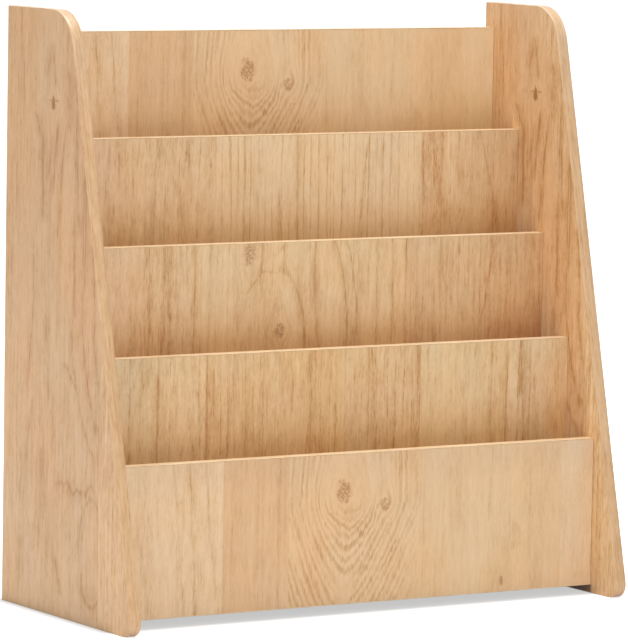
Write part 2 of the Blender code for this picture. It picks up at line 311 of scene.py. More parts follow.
def patch_distance(across, along, patch):
    """0 in the middle of an oval patch, 1 on its rim."""
    sideways = (across - patch.across) / patch.half_width
    return sideways.hypot((along - patch.along) / patch.half_length)


def parted_fibres(across, along, knots):
    """Place across the fibres, which part round each knot."""
    fibres = across
    for knot in knots:
        near = fade(patch_distance(across, along, knot), KNOT_PART, 0.0, KNOT_PULL)
        fibres = fibres - (across - knot.across) * near
    return fibres


def growth_field(fibres, along, heart):
    """Field of a whole print, and how much of its lines is left beyond the heart's outermost arch."""
    depth = (along - heart.along).lower(0.0) * -1.0
    leaning = fibres + depth * HEART_LEAN
    rounded = arch_field(leaning, along, heart, heart.pull_above, heart.pull_below, HEART_SOFTNESS)
    sideways = leaning - heart.across
    pointed = sideways.hypot(POINT_RADIUS) + depth * POINT_SLOPE
    arches = rounded * (1.0 - POINT_SHARE) + pointed * POINT_SHARE
    inside = fibres.above(heart.start) * fibres.below(heart.end)
    beyond = fade(abs(sideways), heart.reach - HEART_FADE, heart.reach + HEART_FADE)
    return fibres + inside * (arches - fibres), inside * beyond * -1.0 + 1.0


def stave_values(across, staves, pick, joint_width):
    """Three numbers of the stave under each point, blended over a joint's width; pick reads them."""
    current = tuple(pick(staves[0]))
    for before, stave in zip(staves, staves[1:]):
        share = fade(across, stave.edge - joint_width / 2, stave.edge + joint_width / 2)
        inputs = {0: share, 1: Vector(pick(stave)) - Vector(pick(before)), 2: current}
        current = wire(across.tree, "ShaderNodeVectorMath", inputs, operation="MULTIPLY_ADD")
    return current


print("fibres part round a knot as far as", KNOT_PART, "times its half width")

# %% Lines that are drawn one by one
ARCH_SOFTNESS = 0.00004
ARCH_LINE = 0.0030            # half width of the line of an arch or an oval
ARM_BLEND = 0.015             # from an oval's left arm to its right arm
HALO_WIDTH = 3.5              # in half widths of a line
HALO_DARKNESS = 0.42
STROKE_CORE = 0.6             # share of a stroke's reach at full darkness
RIPPLE_CORE = 0.7
RIPPLE_WAVES = Noise(55.0, 4.0)


def soft_line(distance, half_width, darkness):
    """Darkness of a line with a faint halo."""
    halo = fade(distance, half_width * HALO_WIDTH, 0.0, darkness * HALO_DARKNESS)
    return fade(distance, half_width, 0.0, darkness).higher(halo)


def arch_darkness(across, along, arch):
    """One arch as a soft line."""
    square = arch.half_width**2
    field = arch_field(across, along, arch, square / arch.tip_above, square / arch.tip_below, ARCH_SOFTNESS)
    return soft_line(abs(field - arch.half_width), ARCH_LINE, arch.darkness)


def oval_darkness(across, along, oval):
    """One closed oval as a soft line."""
    from_line = abs(patch_distance(across, along, oval) - 1.0) * oval.half_width
    right_arm = fade(across - oval.across, -ARM_BLEND, ARM_BLEND, 1.0 - oval.left_share)
    return soft_line(from_line, ARCH_LINE, oval.darkness) * (right_arm + oval.left_share)


def stroke_darkness(across, along, stroke):
    """One line along the fibres with soft ends."""
    height = along - stroke.along
    middle = (height * stroke.bend + stroke.lean) * height + stroke.across
    line = soft_line(abs(across - middle), stroke.half_width, stroke.darkness)
    return line * fade(abs(height), stroke.reach, stroke.reach * STROKE_CORE)


def ripple_darkness(across, along, ripple):
    """One wavy line across the fibres with soft ends."""
    wave = swing(RIPPLE_WAVES, across, along, 0.0) * ripple.height
    line = soft_line(abs(along - ripple.along + wave), ripple.half_width, ripple.darkness)
    return line * fade(abs(across - ripple.across), ripple.reach, ripple.reach * RIPPLE_CORE)


def drawn_lines(across, along, decor):
    """Darkness of all the lines that are drawn one by one."""
    lines = [arch_darkness(across, along, arch) for arch in decor.arches]
    lines += [oval_darkness(across, along, oval) for oval in decor.ovals]
    lines += [stroke_darkness(across, along, stroke) for stroke in decor.strokes]
    lines += [ripple_darkness(across, along, ripple) for ripple in decor.ripples]
    return reduce(Signal.higher, lines) * across.above(decor.lines_from)


print("a line's halo is", HALO_WIDTH, "times as wide as the line")

# %% [markdown]
# ## The oak foil: colour
#
# Seen from close by, oak is a pale ground with fine dark marks: growth lines a few millimetres apart that are
# really rows of pores, long soft streaks, and short fibres in between. The lines and streaks follow the
# field, so they bend round a heart, but fibres and pores always run along the board. These noises could be
# wired into every material anew. As one node group, which turns a place into a darkness, they are built once,
# and each board's own material only adds its staves, knots and single lines.

# %% Oak grain group
CLOUD = Noise(34.0, 8.0)
STREAK = Noise(185.0, 16.0, 3.1, 3.0)
MOTTLE = Noise(120.0, 48.0, 4.4, 2.0, 0.85)
FIBRE = Noise(640.0, 52.0, 5.7, 2.0, 0.95)
SPECK = Noise(520.0, 210.0, 6.6, 1.0, 0.52)
PORE = Noise(1150.0, 90.0, 8.3, 1.0, 0.3)
LINE_SWAY = Noise(45.0, 12.0, 1.7, 2.0, 0.0034)
LINE_DRIFT = Noise(70.0, 1.5, 2.3, 2.0, 1.3)
LINE_PRESENCE = Noise(200.0, 9.0, 4.9)
PORE_RANGE = (0.53, 0.70)        # noise at which a pore begins and is full
PRESENCE_RANGE = (0.24, 0.62)    # the same for a line
BREAK_RANGE = (0.30, 0.68)       # the same for the pores that break up a line
BREAK_DEPTH = 0.6
BREAK_REST = 0.5
LINE_GAPS = (0.0052, 0.0080)     # lines this close are wide, lines this far apart are thin
WIDE_LINE = 0.0024
THIN_LINE = 0.0012
LINE_CORE = 0.3                  # share of a line's width at full darkness
MEAN_MARKS = 2.20
MEAN_DARKNESS = 0.40


def grain_group():
    """Node group that gives the darkness and the pores of oak at a place in its growth field."""
    names = ("Field", "Fibres", "Along", "Seed", "Line Gap", "Line Strength", "Contrast")
    results = ("Darkness", "Pores")
    floats = [dict.fromkeys(sockets, "Float") for sockets in (names, results)]
    group, inputs = new_group("oak_grain", "ShaderNodeTree", *floats)
    field, fibres, along, seed, line_gap, line_strength, contrast = inputs.values()

    pore_noise = noise(PORE, fibres, along, seed)
    pores = fade(pore_noise, *PORE_RANGE)
    marks = pores * PORE.size - MEAN_MARKS
    for kind in (CLOUD, STREAK):
        marks = marks + noise(kind, field, along, seed) * kind.size
    for kind in (MOTTLE, FIBRE, SPECK):
        marks = marks + noise(kind, fibres, along, seed) * kind.size

    rough_place = field + swing(LINE_SWAY, fibres, along, seed)
    phase = rough_place / line_gap + noise(LINE_DRIFT, field, along, seed) * LINE_DRIFT.size
    from_line = abs(phase.math("FRACT") - 0.5) * line_gap
    line_width = fade(line_gap, *LINE_GAPS, THIN_LINE - WIDE_LINE) + WIDE_LINE
    line = fade(from_line / line_width, 1.0, LINE_CORE)
    presence = fade(noise(LINE_PRESENCE, field, along, seed), *PRESENCE_RANGE)
    broken = fade(pore_noise, *BREAK_RANGE, BREAK_DEPTH) + BREAK_REST

    darkness = marks * contrast + line * presence * broken * line_strength + MEAN_DARKNESS
    add_node(group, "NodeGroupOutput", {"Darkness": darkness, "Pores": pores})
    return group


OAK_GRAIN = grain_group()
print("oak grain group:", len(OAK_GRAIN.nodes), "nodes")

# %% Colour and finish of oak
OAK_PALE = (0.80, 0.560, 0.330)
OAK_GROUND = (0.705, 0.463, 0.250)
OAK_DARK = (0.46, 0.225, 0.070)
PALE_AT = 0.05
GROUND_AT = 0.42
PLAIN = (1.0, 1.0, 1.0)
FOIL_ROUGHNESS = 0.46
FOIL_SPECULAR = 0.45
PORE_ROUGHNESS = 0.12
PORE_DEPTH = 0.00006

# Painted shading: a tone, paler for painted light and darker for painted shade, that a colour takes on along
# one axis: none of it up to start, all of it from end on. Limits are further fades, each an axis, a start and
# an end, that hold the tone to a part of the board.
PaintedShading = namedtuple("PaintedShading", "axis start end tone limits", defaults=[()])


def grain(*values):
    """The oak grain group with its seven inputs in order; returns darkness and pores."""
    group = add_node(values[0].tree, "ShaderNodeGroup", dict(enumerate(values)), node_tree=OAK_GRAIN)
    return [Signal(output) for output in group.outputs]


def oak_colour(darkness):
    """Pale, ground and dark oak, by darkness."""
    ramp = add_node(darkness.tree, "ShaderNodeValToRGB", {"Fac": darkness})
    stops = ramp.color_ramp.elements
    stops[0].position = PALE_AT
    stops[0].color = (*OAK_PALE, 1.0)
    stops[1].position = 1.0
    stops[1].color = (*OAK_DARK, 1.0)
    stops.new(GROUND_AT).color = (*OAK_GROUND, 1.0)
    return Signal(ramp.outputs["Color"])


def toned(colour, tone):
    """A colour made warmer, cooler, paler or darker by three factors."""
    return wire(colour.tree, "ShaderNodeVectorMath", {0: colour, 1: tone}, operation="MULTIPLY")


def with_painted_shading(colour, place, painted_shading):
    """A colour with its painted light and shade along the axes."""
    for shade in painted_shading:
        amount = fade(place[shade.axis], shade.start, shade.end)
        for axis, start, end in shade.limits:
            amount = amount * fade(place[axis], start, end)
        colour = toned(colour, blend_colours(amount, PLAIN, shade.tone))
    return colour


def finish_oak(shader, colour, pores, roughness=FOIL_ROUGHNESS):
    """Matt foil with printed pores that are pressed in a little."""
    inputs = {
        "Base Color": colour,
        "Roughness": pores * PORE_ROUGHNESS + roughness,
        "Specular IOR Level": FOIL_SPECULAR,
        "Normal": bumped(pores * -1.0, PORE_DEPTH),
    }
    fill(shader, inputs)


print("oak runs from", OAK_PALE, "to", OAK_DARK)

# %% Cover of the knots
KNOT_BROWN = (0.34, 0.145, 0.045)
KNOT_RIM = Noise(170.0, 130.0, 1.0)
KNOT_RAGGEDNESS = 1.1
KNOT_RANGE = (1.15, 0.60)        # distance at which a knot begins and is full
FLECKS_ACROSS = 470.0            # per metre
FLECKS_ALONG = 390.0
FLECK_SHIFT = 0.9
FLECK_RAGGEDNESS = 0.5
FLECK_RANGE = (0.58, 0.34)
FLECK_SHARE = 0.66
SOLID_KNOT = 0.0045              # knots up to this half width have no flecks


def knot_cover(across, along, knots, seed):
    """How much of each point is covered by knots."""
    ragged = swing(KNOT_RIM, across, along, seed)
    place = vector_of(across * FLECKS_ACROSS + ragged * FLECK_SHIFT, along * FLECKS_ALONG)
    inputs = {"Vector": place, "Scale": 1.0}
    cells = wire(across.tree, "ShaderNodeTexVoronoi", inputs, "Distance", voronoi_dimensions="2D")
    flecks = fade(cells + ragged * FLECK_RAGGEDNESS, *FLECK_RANGE)
    covers = []
    for knot in knots:
        distance = patch_distance(across, along, knot) + ragged * KNOT_RAGGEDNESS
        cover = fade(distance, *KNOT_RANGE, knot.darkness)
        if knot.half_width > SOLID_KNOT:
            cover = cover * (flecks * FLECK_SHARE + (1.0 - FLECK_SHARE))
        covers.append(cover)
    return reduce(Signal.higher, covers)


print("flecks of a knot are", round(1000 / FLECKS_ACROSS, 1), "mm apart")

# %% Foil material
SIDE_FOOT_DEPTH = 0.268          # rear edge of a side to its sloped front line, on the ground
SIDE_TOP_DEPTH = 0.128           # the same at the top
FRONT_SLOPE = (SIDE_FOOT_DEPTH - SIDE_TOP_DEPTH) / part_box("side_left")[1].z
ACROSS_X, ACROSS_Y, UP, FROM_FRONT = range(4)
TEXTURE_JOINT = 0.00002          # width of the joint between two staves
TONE_JOINT = 0.0025
WARM = (1.015, 0.985, 0.94)
COOL = (0.985, 1.015, 1.06)
WARMTH = Noise(14.0, 7.0, 7.0)
WARMTH_RANGE = (0.3, 0.7)
SWAY = Noise(18.0, 5.0, 0.0, 2.0, 0.007)
JITTER = Noise(150.0, 90.0, 6.0, 2.0, 0.0018)
COMB = Noise(380.0, 30.0, 9.0, 2.0, 0.013)
CALM_RANGE = (0.6, 1.2)
SEED_PER_GAP = 9000.0            # staves with other gaps get another grain
SEED_PER_METRE = 20.0
STROKE_COMB = 0.4
STROKE_PRESENCE = Noise(60.0, 30.0, 2.0)
STROKE_RANGE = (0.25, 0.62)
STROKE_WEAK = 0.4                # darkness that is left where a stroke is weakest
STROKE_PORES = 0.5
STROKE_GROUND = 0.8


def foil(name, decor, across_axis, along_start=0.0, seed=0.0, tint=PLAIN, painted_shading=()):
    """Oak foil with a print whose places are counted from along_start up."""
    material, shader, place = new_material(name)
    place.append(place[ACROSS_Y] - place[UP] * FRONT_SLOPE)
    flat = place[across_axis]
    along = place[UP] - along_start
    comb = swing(COMB, flat, along, seed)
    across = flat + swing(SWAY, flat, along, seed) + swing(JITTER, flat, along, seed)
    fibres = parted_fibres(across, along, decor.knots)

    texture = attrgetter("line_gap", "line_strength", "contrast")
    line_gap, line_strength, contrast = parts_of(stave_values(flat, decor.staves, texture, TEXTURE_JOINT))
    field = fibres
    if decor.heart:
        field, left_over = growth_field(fibres, along + comb, decor.heart)
        calm = fade(patch_distance(across, along, decor.calm), *CALM_RANGE)
        line_strength = line_strength * left_over * calm
    stave_seed = line_gap * SEED_PER_GAP + flat * SEED_PER_METRE + seed
    darkness, pores = grain(field, fibres, along, stave_seed, line_gap, line_strength, contrast)
    if decor.strokes:
        lines = drawn_lines(across, along + comb * STROKE_COMB, decor)
        wear = noise(STROKE_PRESENCE, flat, along, seed)
        presence = fade(wear, *STROKE_RANGE, 1.0 - STROKE_WEAK) + STROKE_WEAK
        darkness = darkness + lines * presence * (pores * STROKE_PORES + STROKE_GROUND)

    tone = stave_values(flat, decor.staves, attrgetter("tone"), TONE_JOINT)
    warmth = fade(noise(WARMTH, flat, along, seed), *WARMTH_RANGE)
    colour = toned(toned(oak_colour(darkness), tone), blend_colours(warmth, COOL, WARM))
    colour = toned(colour, tint)
    if decor.knots:
        colour = blend_colours(knot_cover(across, along, decor.knots, seed), colour, KNOT_BROWN)
    finish_oak(shader, with_painted_shading(colour, place, painted_shading), pores)
    return material


print("the sides' front edge leans back", round(FRONT_SLOPE, 3), "m for each metre of height")

# %% [markdown]
# ## The prints
#
# Five prints cover the faces that show, and a plain one the rear faces. The front board and the topmost
# upright are cut from the same print, with two knots above a heart. Both sides share a print as well. Places
# are in metres: across from the middle of the board, along from its lip for the uprights and from the ground
# for the sides.

# %% Print of the front board and the topmost upright
KNOTTED_PRINT = Decor(
    staves=[
        Stave(-0.300, (1.04, 1.095, 1.19), 0.0310, 0.06, 0.38),
        Stave(-0.162, (0.950, 0.912, 0.897), 0.0088, 0.14, 0.34),
        Stave(-0.086, (1.01, 1.018, 1.035), 0.0057, 0.35, 0.32),
        Stave(0.0715, (1.01, 1.03, 1.04), 0.0140, 0.06, 0.28),
        Stave(0.199, (0.99, 0.99, 0.99), 0.0190, 0.06, 0.30),
        Stave(0.240, (1.03, 1.09, 1.20), 0.0180, 0.06, 0.30),
    ],
    heart=Heart(-0.0155, -0.052, 0.016, 0.036, 0.078, -0.086, 0.0715),
    calm=Knot(-0.0130, -0.024, 0.046, 0.036, 0.0),
    arches=[
        Arch(0.1843, -0.150, 0.020, 0.055, 0.200, 0.14),
        Arch(0.1843, -0.175, 0.034, 0.070, 0.200, 0.12),
    ],
    strokes=[
        Stroke(-0.2523, -0.172, 0.0042, 0.22, -0.100, 0.065),
        Stroke(-0.2123, -0.091, 0.0040, 0.30),
        Stroke(-0.1970, -0.052, 0.0038, 0.32),
        Stroke(-0.1763, -0.113, 0.0042, 0.30, bend=0.43),
        Stroke(-0.1207, -0.010, 0.0020, 0.20),
        Stroke(-0.0960, 0.0, 0.0020, 0.16),
        Stroke(-0.0010, 0.900, 0.0050, 0.26, -0.1180, 0.006),
        Stroke(0.0722, 0.0, 0.0020, 0.30, -0.090, 0.075),
        Stroke(0.1160, 0.0, 0.0020, 0.16, -0.030, 0.060),
        Stroke(0.1540, 0.05, 0.0028, 0.16, -0.020, 0.070),
        Stroke(0.2010, 0.0, 0.0024, 0.20, -0.080, 0.060),
    ],
    knots=[
        Knot(-0.0223, -0.0385, 0.0100, 0.0125, 0.68),
        Knot(0.0260, -0.0545, 0.0062, 0.0076, 0.58),
        Knot(0.1680, -0.1417, 0.0026, 0.0060, 0.65),
    ],
)
print("knotted print:", len(KNOTTED_PRINT.strokes), "strokes,", len(KNOTTED_PRINT.knots), "knots")

# %% Prints of the other uprights
STRIPED_PRINT = Decor(
    staves=[
        Stave(-0.300, (0.955, 0.935, 0.91), 0.0130, 0.22, 0.66),
        Stave(-0.087, (1.03, 1.065, 1.10), 0.0088, 0.36, 0.38),
        Stave(0.158, (0.94, 0.90, 0.87), 0.0110, 0.24, 0.66),
        Stave(0.190, (0.98, 1.00, 1.02), 0.0150, 0.20, 0.56),
        Stave(0.240, (0.92, 0.90, 0.88), 0.0120, 0.24, 0.66),
    ],
    strokes=[
        Stroke(-0.2070, 0.10, 0.0045, 0.34, -0.090, 0.030),
        Stroke(-0.1690, 0.0, 0.0022, 0.40, -0.008, 0.016),
        Stroke(-0.1600, 0.12, 0.0034, 0.22),
        Stroke(-0.1220, 0.0, 0.0026, 0.44, -0.014, 0.014),
        Stroke(-0.1270, 0.0, 0.0022, 0.28, -0.085, 0.040),
        Stroke(-0.0530, 0.0, 0.0018, 0.34),
        Stroke(-0.0120, 0.0, 0.0020, 0.40, -0.085, 0.035),
        Stroke(0.0095, 0.0, 0.0018, 0.34),
        Stroke(0.0490, 0.0, 0.0018, 0.30, -0.060, 0.060),
        Stroke(0.0870, 0.10, 0.0020, 0.44, -0.070, 0.070),
        Stroke(0.1620, -0.03, 0.0038, 0.30, -0.060, 0.060),
        Stroke(0.1790, -0.20, 0.0032, 0.28, -0.045, 0.050),
        Stroke(0.2430, -0.24, 0.0030, 0.30, -0.045, 0.060),
        Stroke(0.2120, 0.30, 0.0026, 0.26, -0.085, 0.030),
    ],
)
ARCHED_PRINT = Decor(
    staves=[
        Stave(-0.300, (0.985, 0.985, 0.985), 0.0240, 0.26, 0.60),
        Stave(-0.141, (1.00, 1.00, 0.97), 0.0160, 0.20, 0.46),
        Stave(0.109, (0.905, 0.875, 0.85), 0.0070, 0.18, 0.56),
        Stave(0.150, (0.935, 0.92, 0.90), 0.0070, 0.18, 0.56),
        Stave(0.205, (0.93, 0.88, 0.84), 0.0060, 0.18, 0.56),
    ],
    arches=[Arch(-0.0400, -0.100, 0.0150, 0.030, 0.080, 0.14)],
    ovals=[Oval(-0.0415, -0.103, 0.0306, 0.075, 0.56, 0.12)],
    strokes=[
        Stroke(-0.1910, 0.0, 0.0022, 0.56),
        Stroke(-0.1685, 0.0, 0.0050, 0.50),
        Stroke(-0.1405, 0.0, 0.0020, 0.44),
        Stroke(-0.1220, 0.0, 0.0018, 0.22),
        Stroke(-0.0920, -0.11, 0.0022, 0.26, -0.060, 0.040, 0.8),
        Stroke(-0.0625, 0.06, 0.0026, 0.42, -0.018, 0.030),
        Stroke(-0.0691, 0.82, 0.0030, 0.46, -0.0395, 0.014),
        Stroke(-0.0410, 0.95, 0.0030, 0.40, -0.0090, 0.0075),
        Stroke(0.0015, -0.04, 0.0022, 0.46, -0.060, 1.0, 0.8),
        Stroke(0.0365, -0.177, 0.0026, 0.50, -0.045, 0.120, -1.95),
        Stroke(0.0487, -0.152, 0.0024, 0.48, -0.045, 0.120, -2.0),
        Stroke(0.0530, -0.10, 0.0018, 0.30, -0.025, 0.040),
        Stroke(0.0656, 0.0, 0.0018, 0.30, -0.020, 0.050),
        Stroke(0.0753, 0.0, 0.0020, 0.34),
        Stroke(0.0930, 0.0, 0.0020, 0.34),
        Stroke(0.1100, 0.0, 0.0024, 0.26),
        Stroke(0.2120, 0.18, 0.0034, 0.42, -0.045, 0.050),
    ],
    ripples=[Ripple(-0.0530, -0.0300, 0.0130, 0.014, 0.0019, 0.48)],
    knots=[
        Knot(-0.0757, -0.0100, 0.0066, 0.0135, 0.68),
        Knot(-0.0388, -0.0890, 0.0066, 0.0076, 0.62),
    ],
)
COMBED_PRINT = Decor(
    staves=[
        Stave(-0.300, (1.00, 1.01, 1.00), 0.0160, 0.28, 0.62),
        Stave(-0.155, (0.96, 0.91, 0.83), 0.0080, 0.26, 0.64),
        Stave(-0.115, (0.96, 0.90, 0.79), 0.0090, 0.26, 0.64),
        Stave(-0.044, (0.94, 0.87, 0.73), 0.0090, 0.26, 0.64),
        Stave(0.010, (0.96, 0.92, 0.83), 0.0200, 0.24, 0.60),
        Stave(0.045, (0.97, 0.93, 0.86), 0.0100, 0.30, 0.64),
        Stave(0.098, (0.99, 1.00, 0.95), 0.0120, 0.20, 0.50),
        Stave(0.205, (1.00, 1.02, 1.04), 0.0170, 0.28, 0.60),
    ],
    strokes=[
        Stroke(-0.2400, 0.0, 0.0026, 0.38),
        Stroke(-0.2270, 0.0, 0.0022, 0.34),
        Stroke(-0.2100, 0.0, 0.0022, 0.28),
        Stroke(-0.1530, 0.0, 0.0024, 0.26),
        Stroke(-0.0870, 0.0, 0.0022, 0.26),
        Stroke(-0.0320, 0.0, 0.0022, 0.34),
        Stroke(0.0430, -0.06, 0.0028, 0.46),
        Stroke(0.0550, 0.0, 0.0020, 0.30),
        Stroke(0.0950, 0.0, 0.0026, 0.44),
        Stroke(0.1510, 0.0, 0.0020, 0.26),
        Stroke(0.1850, 0.0, 0.0022, 0.38),
        Stroke(0.2040, 0.0, 0.0024, 0.32),
        Stroke(0.2250, -0.06, 0.0028, 0.40),
    ],
)
print("prints with strokes:", [len(decor.strokes) for decor in (STRIPED_PRINT, ARCHED_PRINT, COMBED_PRINT)])

# %% Print of the sides, and a plain one
SIDE_PRINT = Decor(
    staves=[
        Stave(-0.200, (1.09, 1.11, 1.12), 0.0034, 0.30, 0.44),
        Stave(-0.066, (0.98, 0.96, 0.95), 0.0082, 0.16, 0.46),
        Stave(0.095, (0.98, 0.965, 0.95), 0.0070, 0.18, 0.48),
    ],
    lines_from=-0.0668,
    arches=[
        Arch(-0.0660, 0.265, 0.0574, 1.200, 0.100, 0.42),
        Arch(-0.0660, 0.296, 0.0381, 1.200, 0.100, 0.44),
        Arch(-0.0660, 0.290, 0.0132, 1.000, 0.045, 0.42),
    ],
    ovals=[Oval(-0.0528, 0.0720, 0.0255, 0.0530, 0.52)],
    strokes=[
        Stroke(0.0418, -0.380, 0.0041, 0.43, 0.551, 0.022),
        Stroke(0.0331, 0.180, 0.0041, 0.43, 0.546, 0.026),
        Stroke(0.0600, 0.500, 0.0041, 0.54, 0.478, 0.022),
        Stroke(0.0545, 0.0, 0.0043, 0.62, 0.432, 0.052),
        Stroke(0.0405, -0.220, 0.0036, 0.32, 0.450, 0.028),
        Stroke(0.0290, -0.138, 0.0041, 0.57, 0.452, 0.042),
        Stroke(0.0030, 0.0, 0.0060, 0.51, 0.512, 0.036),
        Stroke(0.0160, -0.140, 0.0041, 0.54, 0.430, 0.075),
        Stroke(-0.0170, 0.050, 0.0029, 0.46, 0.432, 0.052),
        Stroke(-0.0338, 0.0, 0.0031, 0.54, 0.395, 0.085, 0.8),
        Stroke(-0.0503, 0.074, 0.0034, 0.70, 0.347, 0.032),
        Stroke(-0.0116, 0.0, 0.0029, 0.43, 0.327, 0.038),
        Stroke(0.0720, 0.0, 0.0024, 0.30, 0.335, 0.024),
        Stroke(0.0755, -0.130, 0.0029, 0.49, 0.275, 0.060),
        Stroke(0.0745, -0.200, 0.0029, 0.41, 0.197, 0.022),
        Stroke(0.0418, 0.084, 0.0031, 0.49, 0.252, 0.055),
        Stroke(0.0284, 0.0, 0.0029, 0.43, 0.193, 0.036),
        Stroke(-0.0060, 1.050, 0.0048, 0.51, 0.242, 0.015),
        Stroke(0.0140, 0.350, 0.0034, 0.49, 0.040, 0.022),
        Stroke(0.0950, 0.0, 0.0072, 0.32, 0.133, 0.032),
        Stroke(0.0535, 0.0, 0.0084, 0.27, 0.110, 0.062),
        Stroke(0.0670, 0.0, 0.0060, 0.30, 0.073, 0.018),
        Stroke(0.0930, 0.0, 0.0060, 0.27, 0.052, 0.022),
        Stroke(-0.0660, 0.0, 0.0014, 0.46, 0.090, 0.140),
    ],
    ripples=[Ripple(-0.0220, 0.133, 0.046, 0.040, 0.0060, 0.55)],
    knots=[Knot(0.0340, 0.5085, 0.0042, 0.0078, 1.0), Knot(0.0340, 0.5105, 0.0120, 0.0017, 0.70)],
)
PLAIN_PRINT = Decor(
    staves=[
        Stave(-0.300, (1.00, 1.00, 1.00), 0.0120, 0.25, 0.50),
        Stave(-0.170, (0.97, 0.95, 0.93), 0.0070, 0.22, 0.45),
        Stave(-0.040, (1.01, 1.02, 1.03), 0.0160, 0.25, 0.45),
        Stave(0.085, (0.98, 0.96, 0.94), 0.0090, 0.25, 0.50),
        Stave(0.190, (1.00, 1.00, 0.99), 0.0130, 0.22, 0.45),
    ],
)
print("side print:", len(SIDE_PRINT.arches), "arches,", len(SIDE_PRINT.strokes), "strokes")

# %% [markdown]
# ## Painted light and shade on the boards
#
# Deep in a pocket, light goes from board to board several times before it comes out, and each time the oak
# takes some blue from it. On the real shelf the boards therefore look warmer and darker low in a pocket than
# a plain render shows them. Small warm lamps could help, but they would tint whatever stands near them. So
# light and shade are painted into each print instead: painted light near the lips of the uprights, painted
# shade near the lip of the front board, and painted tones, mostly warmer and darker, low in the pocket and
# towards the ends of the board. Both faces of the sides are painted paler towards the ground, the inner ones
# less so beside the front board. The inner faces are also painted paler towards the open front, and have a
# painted shadow in the gap under the front board. Their print is also a little stronger than that of the
# outer faces.

# %% Painted light and shade on the boards
PRINTS = {                       # the print of each board, how far it is moved up, and its seed
    "upright_1": (KNOTTED_PRINT, -0.003, 1.0),
    "upright_2": (STRIPED_PRINT, 0.0, 2.0),
    "upright_3": (ARCHED_PRINT, 0.0, 3.0),
    "upright_4": (COMBED_PRINT, 0.0, 4.0),
    "front_board": (KNOTTED_PRINT, 0.0, 1.0),
}
LIPS = {name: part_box(name)[1].z for name in PRINTS}
LIPS_IN_FRONT = dict(zip(LIPS, list(LIPS.values())[1:]))
LIP_FADE = (-0.045, -0.004)      # heights over the board's own lip
POCKET_FADE = (0.050, -0.004)    # heights over the lip in front of the board
END_FADE = (0.165, 0.285)        # distances from the middle of the shelf

# Painted light and shade of a board: near the lip, low in the pocket, at both ends, and low at the right end.
PaintedTones = namedtuple("PaintedTones", "lip low left right low_right", defaults=[PLAIN] * 4)
BOARD_PAINTED_TONES = {
    "upright_1": PaintedTones(
        lip=(1.01, 1.02, 1.04),
        low=(1.06, 1.00, 0.89),
        left=(1.05, 1.03, 1.00),
        right=(0.96, 0.97, 0.92),
        low_right=(0.86, 0.83, 0.70),
    ),
    "upright_2": PaintedTones(
        lip=(1.01, 1.04, 1.08),
        low=(0.99, 0.88, 0.70),
        left=(0.89, 0.83, 0.83),
        right=(0.86, 0.82, 0.76),
        low_right=(0.90, 0.85, 0.84),
    ),
    "upright_3": PaintedTones(
        lip=(1.00, 1.03, 1.06),
        low=(1.00, 0.86, 0.69),
        left=(0.97, 0.91, 0.90),
        right=(0.90, 0.86, 0.81),
        low_right=(0.80, 0.77, 0.82),
    ),
    "upright_4": PaintedTones(
        lip=(1.00, 1.04, 1.07),
        low=(1.00, 0.90, 0.75),
        left=(0.90, 0.93, 0.92),
        right=(0.92, 0.90, 0.86),
        low_right=(0.92, 0.88, 0.84),
    ),
    "front_board": PaintedTones(lip=(0.95, 0.955, 0.985)),
}


def board_painted_shading(name):
    """The painted light and shade of one board, measured from its own lip and from the lip of the board in
    front of it.
    """
    painted_tones = BOARD_PAINTED_TONES[name]
    at_lip = [LIPS[name] + height for height in LIP_FADE]
    at_left = [-distance for distance in END_FADE]
    painted_shading = [
        PaintedShading(UP, *at_lip, painted_tones.lip),
        PaintedShading(ACROSS_X, *at_left, painted_tones.left),
        PaintedShading(ACROSS_X, *END_FADE, painted_tones.right),
    ]
    if name in LIPS_IN_FRONT:
        low = [LIPS_IN_FRONT[name] + height for height in POCKET_FADE]
        painted_shading.append(PaintedShading(UP, *low, painted_tones.low))
        painted_shading.append(PaintedShading(UP, *low, painted_tones.low_right, [(ACROSS_X, *END_FADE)]))
    return painted_shading


print("shades:", {name: len(board_painted_shading(name)) for name in PRINTS})

# %% Foils of all boards
SIDE_SEED = 5.0
REAR_SEED = 6.0
SIDE_TINT = (0.935, 0.875, 0.825)
INNER_TINT = (0.95, 0.89, 0.835)
REAR_TINT = (0.97, 0.88, 0.76)
INNER_STRENGTH = 1.2
# Painted light: the outer faces of the sides are paler towards the ground.
SIDE_PAINTED_LIGHT = [PaintedShading(UP, 0.42, 0.02, (1.03, 1.07, 1.13))]
# Painted light and shade on the inner faces of the sides: paler towards the ground, less so beside the front
# board, paler at the open front, and a painted shadow in the gap under the front board, which these limits
# bound.
UNDER_FRONT_BOARD = [(ACROSS_Y, -0.0890, -0.0855), (ACROSS_Y, -0.030, -0.040)]
INNER_PAINTED_SHADING = [
    PaintedShading(UP, 0.42, 0.02, (1.12, 1.17, 1.22)),                  # paler towards the ground
    PaintedShading(UP, 0.185, 0.135, (0.86, 0.86, 0.87)),                # less so beside the front board
    PaintedShading(FROM_FRONT, -0.0958, -0.1358, (1.07, 1.17, 1.26)),    # paler at the open front
    PaintedShading(UP, 0.0100, 0.0078, (0.32, 0.27, 0.26), UNDER_FRONT_BOARD),
]


def stronger(decor, factor):
    """The same print with more contrast."""
    staves = []
    for stave in decor.staves:
        strength = stave.line_strength * factor
        staves.append(stave._replace(line_strength=strength, contrast=stave.contrast * factor))
    strokes = [stroke._replace(darkness=stroke.darkness * factor) for stroke in decor.strokes]
    arches = [arch._replace(darkness=arch.darkness * factor) for arch in decor.arches]
    return decor._replace(staves=staves, strokes=strokes, arches=arches)


FOILS = {}
for name, (decor, shift, seed) in PRINTS.items():
    start = LIPS[name] + shift
    FOILS[name] = foil(f"oak_foil_{name}", decor, ACROSS_X, start, seed, PLAIN, board_painted_shading(name))
